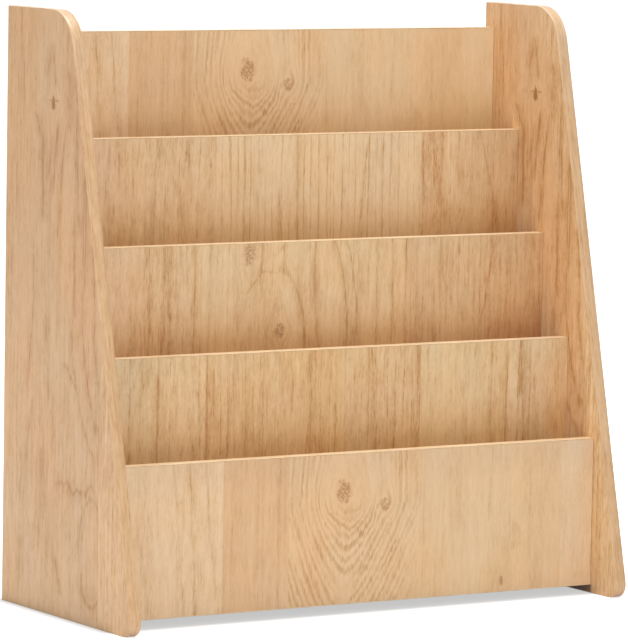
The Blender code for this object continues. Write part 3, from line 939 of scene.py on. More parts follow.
# The inner faces get their own copy of the side foil, with a stronger print and the painted light and shade
# above.
INNER_PRINT = stronger(SIDE_PRINT, INNER_STRENGTH)
SIDE_FOIL = foil("oak_foil_side", SIDE_PRINT, ACROSS_Y, 0.0, SIDE_SEED, SIDE_TINT, SIDE_PAINTED_LIGHT)
INNER_FOIL = foil("oak_foil_inner", INNER_PRINT, ACROSS_Y, 0.0, SIDE_SEED, INNER_TINT, INNER_PAINTED_SHADING)
REAR_FOIL = foil("oak_foil_rear", PLAIN_PRINT, ACROSS_X, 0.0, REAR_SEED, REAR_TINT)
print("foils:", {name: len(material.node_tree.nodes) for name, material in FOILS.items()}, "nodes")

# %% [markdown]
# ## Edge bands, floors and raw edges
#
# The edges of a board are hidden under a narrow oak band, whose grain runs along the band. The length along
# the band is stored on its mesh as an attribute, because it follows the outline round the corners and no
# plain coordinate does that. The pocket floors have their grain along their length. Where a board ends inside
# a joint its raw chipboard shows, a packed mix of pale and brown chips.

# %% Band, floor and chipboard materials
BAND_ATTRIBUTE = "band_length"
BAND_ROUGHNESS = 0.30
BAND_TEXTURE = (0.0035, 0.25, 0.35)     # gap and strength of the lines, contrast
FLOOR_TEXTURE = (0.0080, 0.30, 0.50)
# Painted highlight: the side bands turn paler and whiter towards the top.
BAND_PAINTED_HIGHLIGHT = [PaintedShading(UP, 0.46, 0.58, (1.01, 1.08, 1.20))]
SIDE_BAND_TONE = (0.94, 0.92, 0.93)
# The uprights' bands are much paler than the foil; this is partly a paler band and partly a painted highlight
# on the lips.
UPRIGHT_BAND_TONE_AND_HIGHLIGHT = (1.30, 1.52, 1.80)
CHIP_BROWN = (0.36, 0.24, 0.13)
CHIP_PALE = (0.60, 0.44, 0.27)
CHIPS_PER_METRE = 700.0
CHIP_ROUGHNESS = 0.8
CHIP_GLOSS_RANGE = 0.1
CHIP_DEPTH = 0.0002


def band_oak(name, across_axis, tone, seed, painted_shading=()):
    """Oak band, smoother than the foil, whose grain follows the stored length."""
    material, shader, place = new_material(name)
    along = wire(material.node_tree, "ShaderNodeAttribute", output="Fac", attribute_name=BAND_ATTRIBUTE)
    across = place[across_axis]
    darkness, pores = grain(across, across, along, seed, *BAND_TEXTURE)
    finish_oak(shader, with_painted_shading(toned(oak_colour(darkness), tone), place, painted_shading), pores, BAND_ROUGHNESS)
    return material


def floor_oak(name, tone, seed):
    """Oak foil with its grain along X."""
    material, shader, (along, across, _) = new_material(name)
    darkness, pores = grain(across, across, along, seed, *FLOOR_TEXTURE)
    finish_oak(shader, toned(oak_colour(darkness), tone), pores)
    return material


def raw_chipboard():
    """Pressed wood chips from brown to pale."""
    material, shader, place = new_material("raw_chipboard")
    inputs = {"Vector": vector_of(*place), "Scale": CHIPS_PER_METRE}
    chips = wire(material.node_tree, "ShaderNodeTexVoronoi", inputs, "Color", feature="F1")
    shade = parts_of(chips)[0]
    inputs = {
        "Base Color": blend_colours(shade, CHIP_BROWN, CHIP_PALE),
        "Roughness": shade * CHIP_GLOSS_RANGE + CHIP_ROUGHNESS,
        "Normal": bumped(shade, CHIP_DEPTH),
    }
    fill(shader, inputs)
    return material


SIDE_BAND = band_oak("oak_band_side", ACROSS_X, SIDE_BAND_TONE, seed=11.0, painted_shading=BAND_PAINTED_HIGHLIGHT)
UPRIGHT_BAND = band_oak("oak_band_upright", ACROSS_Y, UPRIGHT_BAND_TONE_AND_HIGHLIGHT, seed=12.0)
FLOOR_FOIL = floor_oak("oak_foil_floor", REAR_TINT, seed=13.0)
CHIPBOARD = raw_chipboard()
print("materials:", [material.name for material in (SIDE_BAND, UPRIGHT_BAND, FLOOR_FOIL, CHIPBOARD)])

# %% [markdown]
# ## Metal and beech
#
# The cam locks are die-cast zinc: grey, satin, a little uneven. The bolts and screws are plated steel,
# smoother and brighter. An even grey would look like plastic, so a soft noise varies the colour, the gloss
# and the surface of both metals a little. The dowels are plain beech with short dark flecks.

# %% Materials of the fittings
METAL_CLOUD = Noise(1.0, 1.0, 0.5, 3.0)      # one wave in the size of a cloud
METAL_GLOSS_RANGE = 0.2
ZINC_GREYS = ((0.44, 0.44, 0.43), (0.62, 0.62, 0.60))
STEEL_GREYS = ((0.52, 0.52, 0.53), (0.68, 0.68, 0.69))
BEECH_PALE = (0.68, 0.48, 0.29)
BEECH_DARK = (0.47, 0.29, 0.15)
BEECH_FLECKS = Noise(1800.0, 300.0, 0.2, 1.0)
BEECH_FLECK_RANGE = (0.5, 0.75)
BEECH_ROUGHNESS = 0.62
BEECH_GLOSS_RANGE = 0.1
BEECH_DEPTH = 0.0001


def metal(name, dark, pale, roughness, bump_depth, cloud_size):
    """Bare metal whose colour and gloss vary a little from place to place."""
    material, shader, (x, y, z) = new_material(name)
    cloud = noise(METAL_CLOUD, x / cloud_size + y / cloud_size, z / cloud_size, 0.0)
    inputs = {
        "Metallic": 1.0,
        "Base Color": blend_colours(cloud, dark, pale),
        "Roughness": cloud * METAL_GLOSS_RANGE + roughness,
        "Normal": bumped(cloud, bump_depth),
    }
    fill(shader, inputs)
    return material


def beech():
    """Turned beech with flecks along X."""
    material, shader, (x, y, z) = new_material("beech")
    flecks = fade(noise(BEECH_FLECKS, y + z, x, 0.0), *BEECH_FLECK_RANGE)
    inputs = {
        "Base Color": blend_colours(flecks, BEECH_PALE, BEECH_DARK),
        "Roughness": flecks * BEECH_GLOSS_RANGE + BEECH_ROUGHNESS,
        "Normal": bumped(flecks * -1.0, BEECH_DEPTH),
    }
    fill(shader, inputs)
    return material


ZINC = metal("zinc", *ZINC_GREYS, roughness=0.34, bump_depth=0.00004, cloud_size=0.0012)
STEEL = metal("plated_steel", *STEEL_GREYS, roughness=0.22, bump_depth=0.00001, cloud_size=0.0020)
BEECH = beech()
print("fitting materials:", ZINC.name, STEEL.name, BEECH.name)

# %% [markdown]
# ## The boards
#
# Each board is an outline with a thickness, so one function makes all eleven. The foil covers its two faces,
# raw chipboard its edges. The outline is a little smaller than the packed board where an edge band will be
# glued on. Holes for the fittings are then cut with Booleans. Each cutter takes its place and its size from
# the packed box of a fitting, so a hole is always where its fitting is.

# %% Outlines
BAND = 0.0008                 # thickness of an edge band
GLUE_LINE = 0.00004
SIDE_TOP_RADIUS = 0.043
SIDE_FOOT_RADIUS = 0.01416    # 14 mm and a little, so that the band stays inside the packed box
REAR_CORNER_RADIUS = 0.0012
CORNER_STEPS = 32
SIDE_PLANE = (1, 2, 0)        # axes of the outline, then the axis of the thickness
UPRIGHT_PLANE = (0, 2, 1)
FLOOR_PLANE = (0, 1, 2)


def side_corners():
    """Corners of a side panel in its own plane, with the radius of each, counter-clockwise."""
    low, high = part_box("side_left")
    corners = [
        Vector((high.y, low.z)),
        Vector((high.y, high.z)),
        Vector((high.y - SIDE_TOP_DEPTH, high.z)),
        Vector((high.y - SIDE_FOOT_DEPTH, low.z)),
    ]
    return corners, [REAR_CORNER_RADIUS, REAR_CORNER_RADIUS, SIDE_TOP_RADIUS, SIDE_FOOT_RADIUS]


def with_neighbours(corners):
    """Each corner between the one before it and the one after it."""
    return zip(corners[-1:] + corners[:-1], corners, corners[1:] + corners[:1])


def inset_corners(corners, amount):
    """Corners of the outline that lies inside another by an amount."""
    moved = []
    for before, corner, after in with_neighbours(corners):
        arriving = (corner - before).normalized().orthogonal()
        leaving = (after - corner).normalized().orthogonal()
        moved.append(corner + (arriving + leaving) * amount / (1 + arriving.dot(leaving)))
    return moved


def round_corners(corners, radii):
    """Outline with an arc in place of each corner."""
    points = []
    for (before, corner, after), radius in zip(with_neighbours(corners), radii):
        to_before = (before - corner).normalized()
        to_after = (after - corner).normalized()
        half_angle = to_before.angle(to_after) / 2
        centre = corner + (to_before + to_after).normalized() * radius / math.sin(half_angle)
        start = corner + to_before * radius / math.tan(half_angle) - centre
        sweep = math.pi - 2 * half_angle
        for step in range(CORNER_STEPS + 1):
            points.append(centre + Matrix.Rotation(sweep * step / CORNER_STEPS, 2) @ start)
    return points


def rectangle(low, high, plane, inset):
    """Outline of a rectangular board, shortened by an inset at both ends of its second axis."""
    first, second = plane[0], plane[1]
    bottom = low[second] + inset
    top = high[second] - inset
    return [(low[first], bottom), (high[first], bottom), (high[first], top), (low[first], top)]


print("side corners:", short(side_corners()[0]))

# %% Closed shells
HOLE_FACETS = 48


def lifted(plane, first, second, depth):
    """Point of a board's outline at a depth in its thickness."""
    point = Vector()
    point[plane[0]] = first
    point[plane[1]] = second
    point[plane[2]] = depth
    return point


def add_shell(bm, rings):
    """Closed shell over rings of points, with a cap at each end."""
    rings = [[bm.verts.new(point) for point in ring] for ring in rings]
    bm.faces.new(rings[0])
    bm.faces.new(rings[-1])
    for lower, upper in zip(rings, rings[1:]):
        for index in range(len(lower)):
            following = (index + 1) % len(lower)
            bm.faces.new((lower[index], lower[following], upper[following], upper[index]))


def mesh_of(bm, name):
    """Mesh from a bmesh, which is freed."""
    mesh = bpy.data.meshes.new(name)
    bm.to_mesh(mesh)
    bm.free()
    return mesh


def board_mesh(name, plane, outline, near, far):
    """Closed mesh of a board between two depths."""
    bm = bmesh.new()
    add_shell(bm, [[lifted(plane, *point, depth) for point in outline] for depth in (near, far)])
    bmesh.ops.recalc_face_normals(bm, faces=bm.faces)
    return mesh_of(bm, name)


def add_turned(bm, axis, centre, profile):
    """Closed round body along an axis through a point, from pairs of place along the axis and radius."""
    first, second = [index for index in range(3) if index != axis]
    rings = []
    for along, radius in profile:
        ring = []
        for facet in range(HOLE_FACETS):
            angle = 2 * math.pi * facet / HOLE_FACETS
            point = Vector(centre)
            point[axis] = along
            point[first] += radius * math.cos(angle)
            point[second] += radius * math.sin(angle)
            ring.append(point)
        rings.append(ring)
    add_shell(bm, rings)


print("holes have", HOLE_FACETS, "facets")

# %% Holes
HOLE_FIT = 0.00015            # around a fitting
HOLE_END = 0.0003             # past the end of a fitting
HOLE_OVERSHOOT = 0.001
SCREW_HEAD_HEIGHT = 0.00205
SCREW_SHANK_RADIUS = 0.00175
TIERS = range(1, 5)           # of uprights and floors, from the rear to the front
BOARD_TIERS = range(1, 6)     # the front board is one more
ENDS = ("left", "right")


def named(kinds, tiers, ends=ENDS):
    """Names of the fittings of some kinds."""
    return [f"{kind}_{tier}_{end}" for tier in tiers for end in ends for kind in kinds]


def pin_hole(bm, node, axis, open_end=0.0):
    """Cutter a little larger than a straight fitting; open_end lengthens it past its far end."""
    low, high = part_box(node)
    radius = (high - low)[(axis + 1) % 3] / 2 + HOLE_FIT
    ends = (low[axis] - HOLE_END, high[axis] + HOLE_END + open_end)
    add_turned(bm, axis, (low + high) / 2, [(end, radius) for end in ends])


def screw_hole(bm, node):
    """Cutter for a countersunk screw whose head faces the rear."""
    low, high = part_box(node)
    head_radius = (high.x - low.x) / 2 + HOLE_FIT
    shank_radius = SCREW_SHANK_RADIUS + HOLE_FIT
    profile = [
        (low.y - HOLE_END, shank_radius),
        (high.y - SCREW_HEAD_HEIGHT - HOLE_FIT, shank_radius),
        (high.y - HOLE_FIT, head_radius),
        (high.y + HOLE_OVERSHOOT, head_radius),
    ]
    add_turned(bm, 1, (low + high) / 2, profile)


def holes(name, nodes):
    """Object for a Boolean with a hole for each of some fittings."""
    bm = bmesh.new()
    for node in nodes:
        if node.startswith("floor_screw"):
            screw_hole(bm, node)
        elif node.startswith(("cam_bolt", "dowel", "floor_dowel")):
            pin_hole(bm, node, 0)
        else:
            pin_hole(bm, node, 1, HOLE_OVERSHOOT)
    bmesh.ops.recalc_face_normals(bm, faces=bm.faces)
    return put(name, mesh_of(bm, name))


def side_holes(end):
    """Blind holes of one side for its bolts and dowels."""
    nodes = named(["cam_bolt", "dowel"], BOARD_TIERS, [end]) + named(["floor_dowel"], TIERS, [end])
    return [holes(f"side_{end}_holes", nodes)]


def upright_holes(tier):
    """Holes of one upright: cams, dowels and screws first, then the bolts that run into the cams."""
    kinds = ["cam", "dowel", "floor_screw"] if tier in TIERS else ["cam", "dowel"]
    pins = holes(f"upright_{tier}_holes", named(kinds, [tier]))
    return [pins, holes(f"upright_{tier}_bolt_holes", named(["cam_bolt"], [tier]))]


def floor_holes(tier):
    """Holes of one floor for its dowels and screws."""
    return [holes(f"floor_{tier}_holes", named(["floor_dowel", "floor_screw"], [tier]))]


print("fittings in one side:", len(named(["cam_bolt", "dowel"], BOARD_TIERS, ["left"])) + len(TIERS))

# %% Boards with their holes
FACE_NORMAL = 0.99


def plain_mesh(thing, name):
    """Mesh of an object with all its modifiers, as plain faces."""
    evaluated = thing.evaluated_get(bpy.context.evaluated_depsgraph_get())
    mesh = bpy.data.meshes.new_from_object(evaluated)
    mesh.name = name
    return mesh


def drill(board, cutters):
    """Take each cutter out of a board for good."""
    for cutter in cutters:
        modifier = board.modifiers.new(cutter.name, "BOOLEAN")
        modifier.operation = "DIFFERENCE"
        modifier.object = cutter
    board.data = plain_mesh(board, board.name)
    board.modifiers.clear()
    for cutter in cutters:
        bpy.data.objects.remove(cutter)


def face_materials(board, axis, near, far, near_foil, far_foil):
    """Foil on the two faces, raw board everywhere else."""
    board.data.materials.clear()
    for material in (CHIPBOARD, near_foil, far_foil):
        board.data.materials.append(material)
    for polygon in board.data.polygons:
        depth = polygon.center[axis]
        is_flat = abs(polygon.normal[axis]) > FACE_NORMAL
        on_near = is_flat and abs(depth - near) < HOLE_FIT
        on_far = is_flat and abs(depth - far) < HOLE_FIT
        polygon.material_index = 1 if on_near else 2 if on_far else 0


def make_board(name, plane, outline, foils, cutters):
    """One finished board that stands for its packed node."""
    low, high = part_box(name)
    near, far = low[plane[2]], high[plane[2]]
    board = put(f"{name}_board", board_mesh(name, plane, outline, near, far))
    drill(board, cutters)
    face_materials(board, plane[2], near, far, *foils)
    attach(board, "root")
    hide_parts(name)
    print(board.name, len(board.data.polygons), "faces")


corners, radii = side_corners()
core_corners = inset_corners(corners, BAND + GLUE_LINE)
core_outline = round_corners(core_corners, [radius - BAND - GLUE_LINE for radius in radii])
for end in ENDS:
    foils = (SIDE_FOIL, INNER_FOIL) if end == "left" else (INNER_FOIL, SIDE_FOIL)
    make_board(f"side_{end}", SIDE_PLANE, core_outline, foils, side_holes(end))
for tier, name in zip(BOARD_TIERS, FOILS):
    outline = rectangle(*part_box(name), UPRIGHT_PLANE, BAND + GLUE_LINE)
    foils = (FOILS[name], REAR_FOIL)
    make_board(name, UPRIGHT_PLANE, outline, foils, upright_holes(tier))
for tier in TIERS:
    outline = rectangle(*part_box(f"floor_{tier}"), FLOOR_PLANE, 0.0)
    foils = (FLOOR_FOIL, FLOOR_FOIL)
    make_board(f"floor_{tier}", FLOOR_PLANE, outline, foils, floor_holes(tier))

# %% [markdown]
# ## Edge bands that follow an outline
#
# A band is a thin strip with rounded outer edges, glued round the board. It follows a path, which is what
# Geometry Nodes are good at: the tree rounds the corners of a plain outline, sweeps the strip's section along
# it, and keeps the length along the path for the grain. The same tree bands the sides all the way round and
# the uprights along their lip and their bottom edge.

# %% Edge band tree
BAND_ARRIS = 0.0006
ARRIS_STEPS = 4
CORNER_ATTRIBUTE = "corner_radius"


def new_tree(name, sizes):
    """Geometry Nodes tree with a geometry, named sizes and a material as its inputs."""
    inputs = {"Geometry": "Geometry", **sizes, "Material": "Material"}
    return new_group(name, "GeometryNodeTree", inputs, {"Geometry": "Geometry"})


def finish_tree(tree, geometry, material):
    """End a tree with Realize Instances and Set Material."""
    realized = wire(tree, "GeometryNodeRealizeInstances", {"Geometry": geometry})
    painted = wire(tree, "GeometryNodeSetMaterial", {"Geometry": realized, "Material": material})
    add_node(tree, "NodeGroupOutput", {"Geometry": painted})
    return tree


def stored(tree, attribute, data_type="FLOAT"):
    """What a mesh stores at each of its points."""
    inputs = {"Name": attribute}
    return wire(tree, "GeometryNodeInputNamedAttribute", inputs, "Attribute", data_type=data_type)


def edge_band_tree():
    """Strip with rounded outer edges along a mesh's edges, whose corners are rounded by their attribute."""
    sizes = {"Band Thickness": "Float", "Board Thickness": "Float", "Arris": "Float", "Corner Steps": "Int"}
    tree, inputs = new_tree("edge_band", sizes)
    path = wire(tree, "GeometryNodeMeshToCurve", {"Mesh": inputs["Geometry"]})
    bends = {"Curve": path, "Count": inputs["Corner Steps"], "Radius": stored(tree, CORNER_ATTRIBUTE)}
    path = wire(tree, "GeometryNodeFilletCurve", bends, mode="POLY")
    length = wire(tree, "GeometryNodeSplineParameter", output="Length")
    kept = {"Geometry": path, "Name": BAND_ATTRIBUTE, "Value": length}
    path = wire(tree, "GeometryNodeStoreNamedAttribute", kept, data_type="FLOAT", domain="POINT")

    size = {"Width": inputs["Board Thickness"], "Height": inputs["Band Thickness"]}
    section = wire(tree, "GeometryNodeCurvePrimitiveQuadrilateral", size, mode="RECTANGLE")
    _, height, _ = parts_of(wire(tree, "GeometryNodeInputPosition"))
    arris = {"Curve": section, "Count": ARRIS_STEPS, "Radius": height.above(0.0) * inputs["Arris"]}
    section = wire(tree, "GeometryNodeFilletCurve", arris, mode="POLY")

    sweep = {"Curve": path, "Profile Curve": section, "Fill Caps": True}
    return finish_tree(tree, wire(tree, "GeometryNodeCurveToMesh", sweep), inputs["Material"])


EDGE_BAND = edge_band_tree()
print("edge band tree:", len(EDGE_BAND.nodes), "nodes")

# %% Make the edge bands
SHARP_ANGLE = math.radians(32)


def run_tree(thing, tree, values):
    """Give an object a tree, set its inputs by identifier and keep the result as a plain mesh."""
    modifier = thing.modifiers.new(tree.name, "NODES")
    modifier.node_group = tree
    for item in tree.interface.items_tree:
        if item.in_out == "INPUT" and item.name in values:
            modifier[item.identifier] = values[item.name]
    made = plain_mesh(thing, thing.name)
    thing.modifiers.clear()
    made.shade_smooth()
    made.set_sharp_from_angle(angle=SHARP_ANGLE)
    thing.data = made
    return thing


def path_object(name, points, edges, attribute, values, data_type="FLOAT", field="value"):
    """Mesh of points and edges for a tree to follow, with something stored at each point."""
    mesh = bpy.data.meshes.new(name)
    mesh.from_pydata(points, edges, [])
    mesh.attributes.new(attribute, data_type, "POINT").data.foreach_set(field, values)
    return put(name, mesh)


def make_band(name, points, edges, corner_radii, board_thickness, material):
    """Edge band along a path."""
    band = path_object(name, points, edges, CORNER_ATTRIBUTE, corner_radii)
    values = {
        "Band Thickness": BAND,
        "Board Thickness": board_thickness,
        "Arris": BAND_ARRIS,
        "Corner Steps": CORNER_STEPS,
        "Material": material,
    }
    run_tree(band, EDGE_BAND, values)
    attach(band, "root")
    heights = [round(vertex.co.z, 5) for vertex in band.data.vertices]
    print(band.name, len(band.data.polygons), "faces, from", min(heights), "to", max(heights))


middle_corners = inset_corners(corners, BAND / 2)
middle_radii = [radius - BAND / 2 for radius in radii]
loop = [(index, (index + 1) % len(corners)) for index in range(len(corners))]
for end in ENDS:
    low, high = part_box(f"side_{end}")
    points = [lifted(SIDE_PLANE, *corner, (low.x + high.x) / 2) for corner in middle_corners]
    make_band(f"side_{end}_band", points, loop, middle_radii, high.x - low.x, SIDE_BAND)
for name in FOILS:
    low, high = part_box(name)
    depth = (low.y + high.y) / 2
    lip, bottom = high.z - BAND / 2, low.z + BAND / 2
    points = [(low.x, depth, lip), (high.x, depth, lip), (high.x, depth, bottom), (low.x, depth, bottom)]
    edges = [(0, 1), (2, 3)]
    make_band(f"{name}_band", points, edges, [0.0] * 4, high.y - low.y, UPRIGHT_BAND)

# %% [markdown]
# ## Fittings from a lathe and a pattern
#
# Cam locks, bolts, dowels and screws are all turned parts, and there are forty-six of them. Each kind is made
# once, as a pattern, the way a lathe would: a line along the axis says how thick the part is at each place.
# A thread or a flute is one more thin line on the outside of the core. One tree sweeps a circle along all
# these lines. A second tree puts a copy of the pattern wherever the packed model has that fitting.

# %% Lathe tree and copy tree
THICKNESS_ATTRIBUTE = "turned_radius"
TURN_ATTRIBUTE = "turn"


def lathe_tree():
    """Round body along each line of a mesh, as thick as the line's attribute says."""
    tree, inputs = new_tree("lathe", {"Facets": "Int"})
    path = wire(tree, "GeometryNodeMeshToCurve", {"Mesh": inputs["Geometry"]})
    size = {"Resolution": inputs["Facets"], "Radius": 1.0}
    circle = wire(tree, "GeometryNodeCurvePrimitiveCircle", size, mode="RADIUS")
    radius = stored(tree, THICKNESS_ATTRIBUTE)
    sweep = {"Curve": path, "Profile Curve": circle, "Scale": radius, "Fill Caps": True}
    return finish_tree(tree, wire(tree, "GeometryNodeCurveToMesh", sweep), inputs["Material"])


def copies_tree():
    """A pattern at every point of a mesh, turned as the point's attribute says."""
    tree, inputs = new_tree("fitting_copies", {"Pattern": "Object"})
    source = {"Object": inputs["Pattern"]}
    pattern = wire(tree, "GeometryNodeObjectInfo", source, "Geometry", transform_space="ORIGINAL")
    turned = wire(tree, "FunctionNodeEulerToRotation", {0: stored(tree, TURN_ATTRIBUTE, "FLOAT_VECTOR")})
    copies = {"Points": inputs["Geometry"], "Instance": pattern, "Rotation": turned}
    return finish_tree(tree, wire(tree, "GeometryNodeInstanceOnPoints", copies), inputs["Material"])


LATHE = lathe_tree()
COPIES = copies_tree()
print("trees:", LATHE.name, len(LATHE.nodes), "nodes,", COPIES.name, len(COPIES.nodes), "nodes")

# %% Turning a pattern
TURNED_FACETS = 32
RIDGE_FACETS = 8
THREAD_STEPS = 14             # in one turn
RUN_OUT = 4                   # a thread reaches its full depth in a turn divided by this
RIDGE_START = 0.05            # share of a ridge's depth where it begins
FLUTE_START = 0.1

# Path of a turned body: points, and its radius at each of them.
Line = namedtuple("Line", "points radii")


def core(profile):
    """Line along Z from pairs of radius and height."""
    return Line([(0.0, 0.0, height) for _, height in profile], [radius for radius, _ in profile])


def thread(low, high, radius, depth, pitch):
    """Helix that stands out from a core up to a radius and runs out at both ends."""
    steps = round((high - low) / pitch * THREAD_STEPS)
    middle = radius - depth
    points = []
    radii = []
    for step in range(steps + 1):
        angle = 2 * math.pi * step / THREAD_STEPS
        height = low + (high - low) * step / steps
        points.append((middle * math.cos(angle), middle * math.sin(angle), height))
        from_end = min(step, steps - step)
        radii.append(depth * min(1.0, RUN_OUT * from_end / THREAD_STEPS + RIDGE_START))
    return Line(points, radii)


def flutes(low, high, radius, depth, count):
    """Straight ridges round a core."""
    lines = []
    for flute in range(count):
        angle = 2 * math.pi * flute / count
        x, y = (radius - depth) * math.cos(angle), (radius - depth) * math.sin(angle)
        heights = (low, low + depth, high - depth, high)
        radii = [depth * share for share in (FLUTE_START, 1.0, 1.0, FLUTE_START)]
        lines.append(Line([(x, y, height) for height in heights], radii))
    return lines


def lathe(name, lines, facets, material):
    """Turned body along each line, as one object."""
    points = [point for line in lines for point in line.points]
    radii = [radius for line in lines for radius in line.radii]
    edges = []
    first = 0
    for line in lines:
        edges += [(first + index, first + index + 1) for index in range(len(line.points) - 1)]
        first += len(line.points)
    thing = path_object(name, points, edges, THICKNESS_ATTRIBUTE, radii)
    return run_tree(thing, LATHE, {"Facets": facets, "Material": material})


def box_cutter(name, low, high):
    """Box-shaped cutter between two corners."""
    outline = rectangle(low, high, FLOOR_PLANE, 0.0)
    return put(name, board_mesh(name, FLOOR_PLANE, outline, low[2], high[2]))


def cross_cutters(reach, width, depth):
    """The two arms of a cross recess under the plane Z = 0."""
    half = width / 2
    return [
        box_cutter("cross_arm_x", (-reach, -half, -depth), (reach, half, HOLE_OVERSHOOT)),
        box_cutter("cross_arm_y", (-half, -reach, -depth), (half, reach, HOLE_OVERSHOOT)),
    ]


def joined(name, things):
    """One object from several, which are removed."""
    bm = bmesh.new()
    for thing in things:
        bm.from_mesh(thing.data)
        bpy.data.objects.remove(thing)
    return put(name, mesh_of(bm, name))


print("turned bodies have", TURNED_FACETS, "facets, ridges", RIDGE_FACETS)

# %% Patterns of the cam and its bolt
CAM_RIM = 0.0004
CAM_CROSS = (0.0032, 0.0016, 0.0018)         # reach, width and depth
CAM_MOUTH_HALF_WIDTH = 0.0023
CAM_POCKET_HALF_WIDTH = 0.0037
CAM_BOLT_DEPTH = 0.00625                     # drive face to the bolt's axis
BOLT_THREAD = (0.0030, 0.00035, 0.0018)      # outer radius, depth and pitch
BOLT_SHANK_RADIUS = 0.0025
BOLT_NECK_RADIUS = 0.0019
BOLT_HEAD_RADIUS = 0.0033
BOLT_NECK_LENGTH = 0.006
BOLT_HEAD_LENGTH = 0.006
BOLT_CHAMFER = 0.0004
BOLT_STEP = 0.0001                           # height of a step from one radius to the next


def cam_pattern():
    """Cam disc under its drive face: a cross recess, a pocket for the bolt's head and a mouth towards +X."""
    low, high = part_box("cam_1_right")
    radius = (high.z - low.z) / 2
    height = high.y - low.y
    inner = radius - CAM_RIM
    profile = [(inner, -height), (radius, CAM_RIM - height), (radius, -CAM_RIM), (inner, 0.0)]
    disc = lathe("cam_pattern", [core(profile)], 2 * TURNED_FACETS, ZINC)
    cutters = []
    pocket_end = BOLT_HEAD_LENGTH / 2 + HOLE_END
    openings = {
        "cam_pocket": (-pocket_end, pocket_end, CAM_POCKET_HALF_WIDTH),
        "cam_mouth": (0.0, 2 * radius, CAM_MOUTH_HALF_WIDTH),
    }
    for name, (start, end, half_width) in openings.items():
        near = (start, -half_width, -height - HOLE_OVERSHOOT)
        far = (end, half_width, half_width - CAM_BOLT_DEPTH)
        cutters.append(box_cutter(name, near, far))
    drill(disc, cutters + cross_cutters(*CAM_CROSS))
    return disc


def bolt_pattern():
    """Cam bolt along Z, from its thread in the side to its head in the cam; the side's face is at 0."""
    low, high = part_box("cam_bolt_1_right")
    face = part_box("side_right")[0].x
    thread_low = face - high.x
    head_high = face - low.x
    head_low = head_high - BOLT_HEAD_LENGTH
    neck_low = head_low - BOLT_NECK_LENGTH
    radius, depth, pitch = BOLT_THREAD
    thread_core = radius - depth
    profile = [
        (thread_core - BOLT_CHAMFER, thread_low),
        (thread_core, thread_low + BOLT_CHAMFER),
        (thread_core, 0.0),
        (BOLT_SHANK_RADIUS, BOLT_STEP),
        (BOLT_SHANK_RADIUS, neck_low),
        (BOLT_NECK_RADIUS, neck_low + BOLT_CHAMFER),
        (BOLT_NECK_RADIUS, head_low),
        (BOLT_HEAD_RADIUS - BOLT_CHAMFER, head_low + BOLT_STEP),
        (BOLT_HEAD_RADIUS, head_low + BOLT_CHAMFER),
        (BOLT_HEAD_RADIUS, head_high - BOLT_CHAMFER),
        (BOLT_HEAD_RADIUS - BOLT_CHAMFER, head_high),
    ]
    body = lathe("bolt_body", [core(profile)], TURNED_FACETS, STEEL)
    ridge_line = thread(thread_low + 2 * depth, -2 * depth, radius, depth, pitch)
    ridge = lathe("bolt_thread", [ridge_line], RIDGE_FACETS, STEEL)
    return joined("bolt_pattern", [body, ridge])


cam = cam_pattern()
bolt = bolt_pattern()
print("patterns:", {pattern.name: len(pattern.data.polygons) for pattern in (cam, bolt)}, "faces")

# %% Patterns of the dowel and the screw
DOWEL_CHAMFER = 0.0006
DOWEL_FLUTES = 18
DOWEL_FLUTE_DEPTH = 0.00022
SCREW_THREAD = (SCREW_SHANK_RADIUS, 0.00025, 0.0016)
SCREW_RIM = 0.0003
SCREW_TIP_RADIUS = 0.0003
SCREW_TIP_LENGTH = 0.004
SCREW_CROSS = (0.0018, 0.0009, 0.0014)


def dowel_pattern():
    """Fluted dowel along Z; the side's face is at 0."""
    low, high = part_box("dowel_1_right")
    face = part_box("side_right")[0].x
    bottom, top = face - high.x, face - low.x
    radius = (high.z - low.z) / 2
    body_radius = radius - DOWEL_FLUTE_DEPTH
    profile = [
        (radius - DOWEL_CHAMFER, bottom),
        (body_radius, bottom + DOWEL_CHAMFER),
        (body_radius, top - DOWEL_CHAMFER),
        (radius - DOWEL_CHAMFER, top),
    ]
    body = lathe("dowel_body", [core(profile)], TURNED_FACETS, BEECH)
    fluted = (bottom + DOWEL_CHAMFER, top - DOWEL_CHAMFER)
    ridge_lines = flutes(*fluted, radius, DOWEL_FLUTE_DEPTH, DOWEL_FLUTES)
    ridges = lathe("dowel_flutes", ridge_lines, RIDGE_FACETS, BEECH)
    return joined("dowel_pattern", [body, ridges])


def screw_pattern():
    """Countersunk screw along Z with its drive face at 0."""
    low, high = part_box("floor_screw_1_right")
    length = high.y - low.y
    head_radius = (high.x - low.x) / 2
    radius, depth, pitch = SCREW_THREAD
    thread_core = radius - depth
    profile = [
        (SCREW_TIP_RADIUS, -length),
        (thread_core, SCREW_TIP_LENGTH - length),
        (thread_core, -SCREW_HEAD_HEIGHT),
        (head_radius, -SCREW_RIM),
        (head_radius, 0.0),
    ]
    body = lathe("screw_body", [core(profile)], TURNED_FACETS, STEEL)
    drill(body, cross_cutters(*SCREW_CROSS))
    thread_top = -SCREW_HEAD_HEIGHT - 2 * depth
    ridge_line = thread(SCREW_TIP_LENGTH / 2 - length, thread_top, radius, depth, pitch)
    ridge = lathe("screw_thread", [ridge_line], RIDGE_FACETS, STEEL)
    return joined("screw_pattern", [body, ridge])


dowel = dowel_pattern()
screw = screw_pattern()
print("patterns:", {pattern.name: len(pattern.data.polygons) for pattern in (dowel, screw)}, "faces")

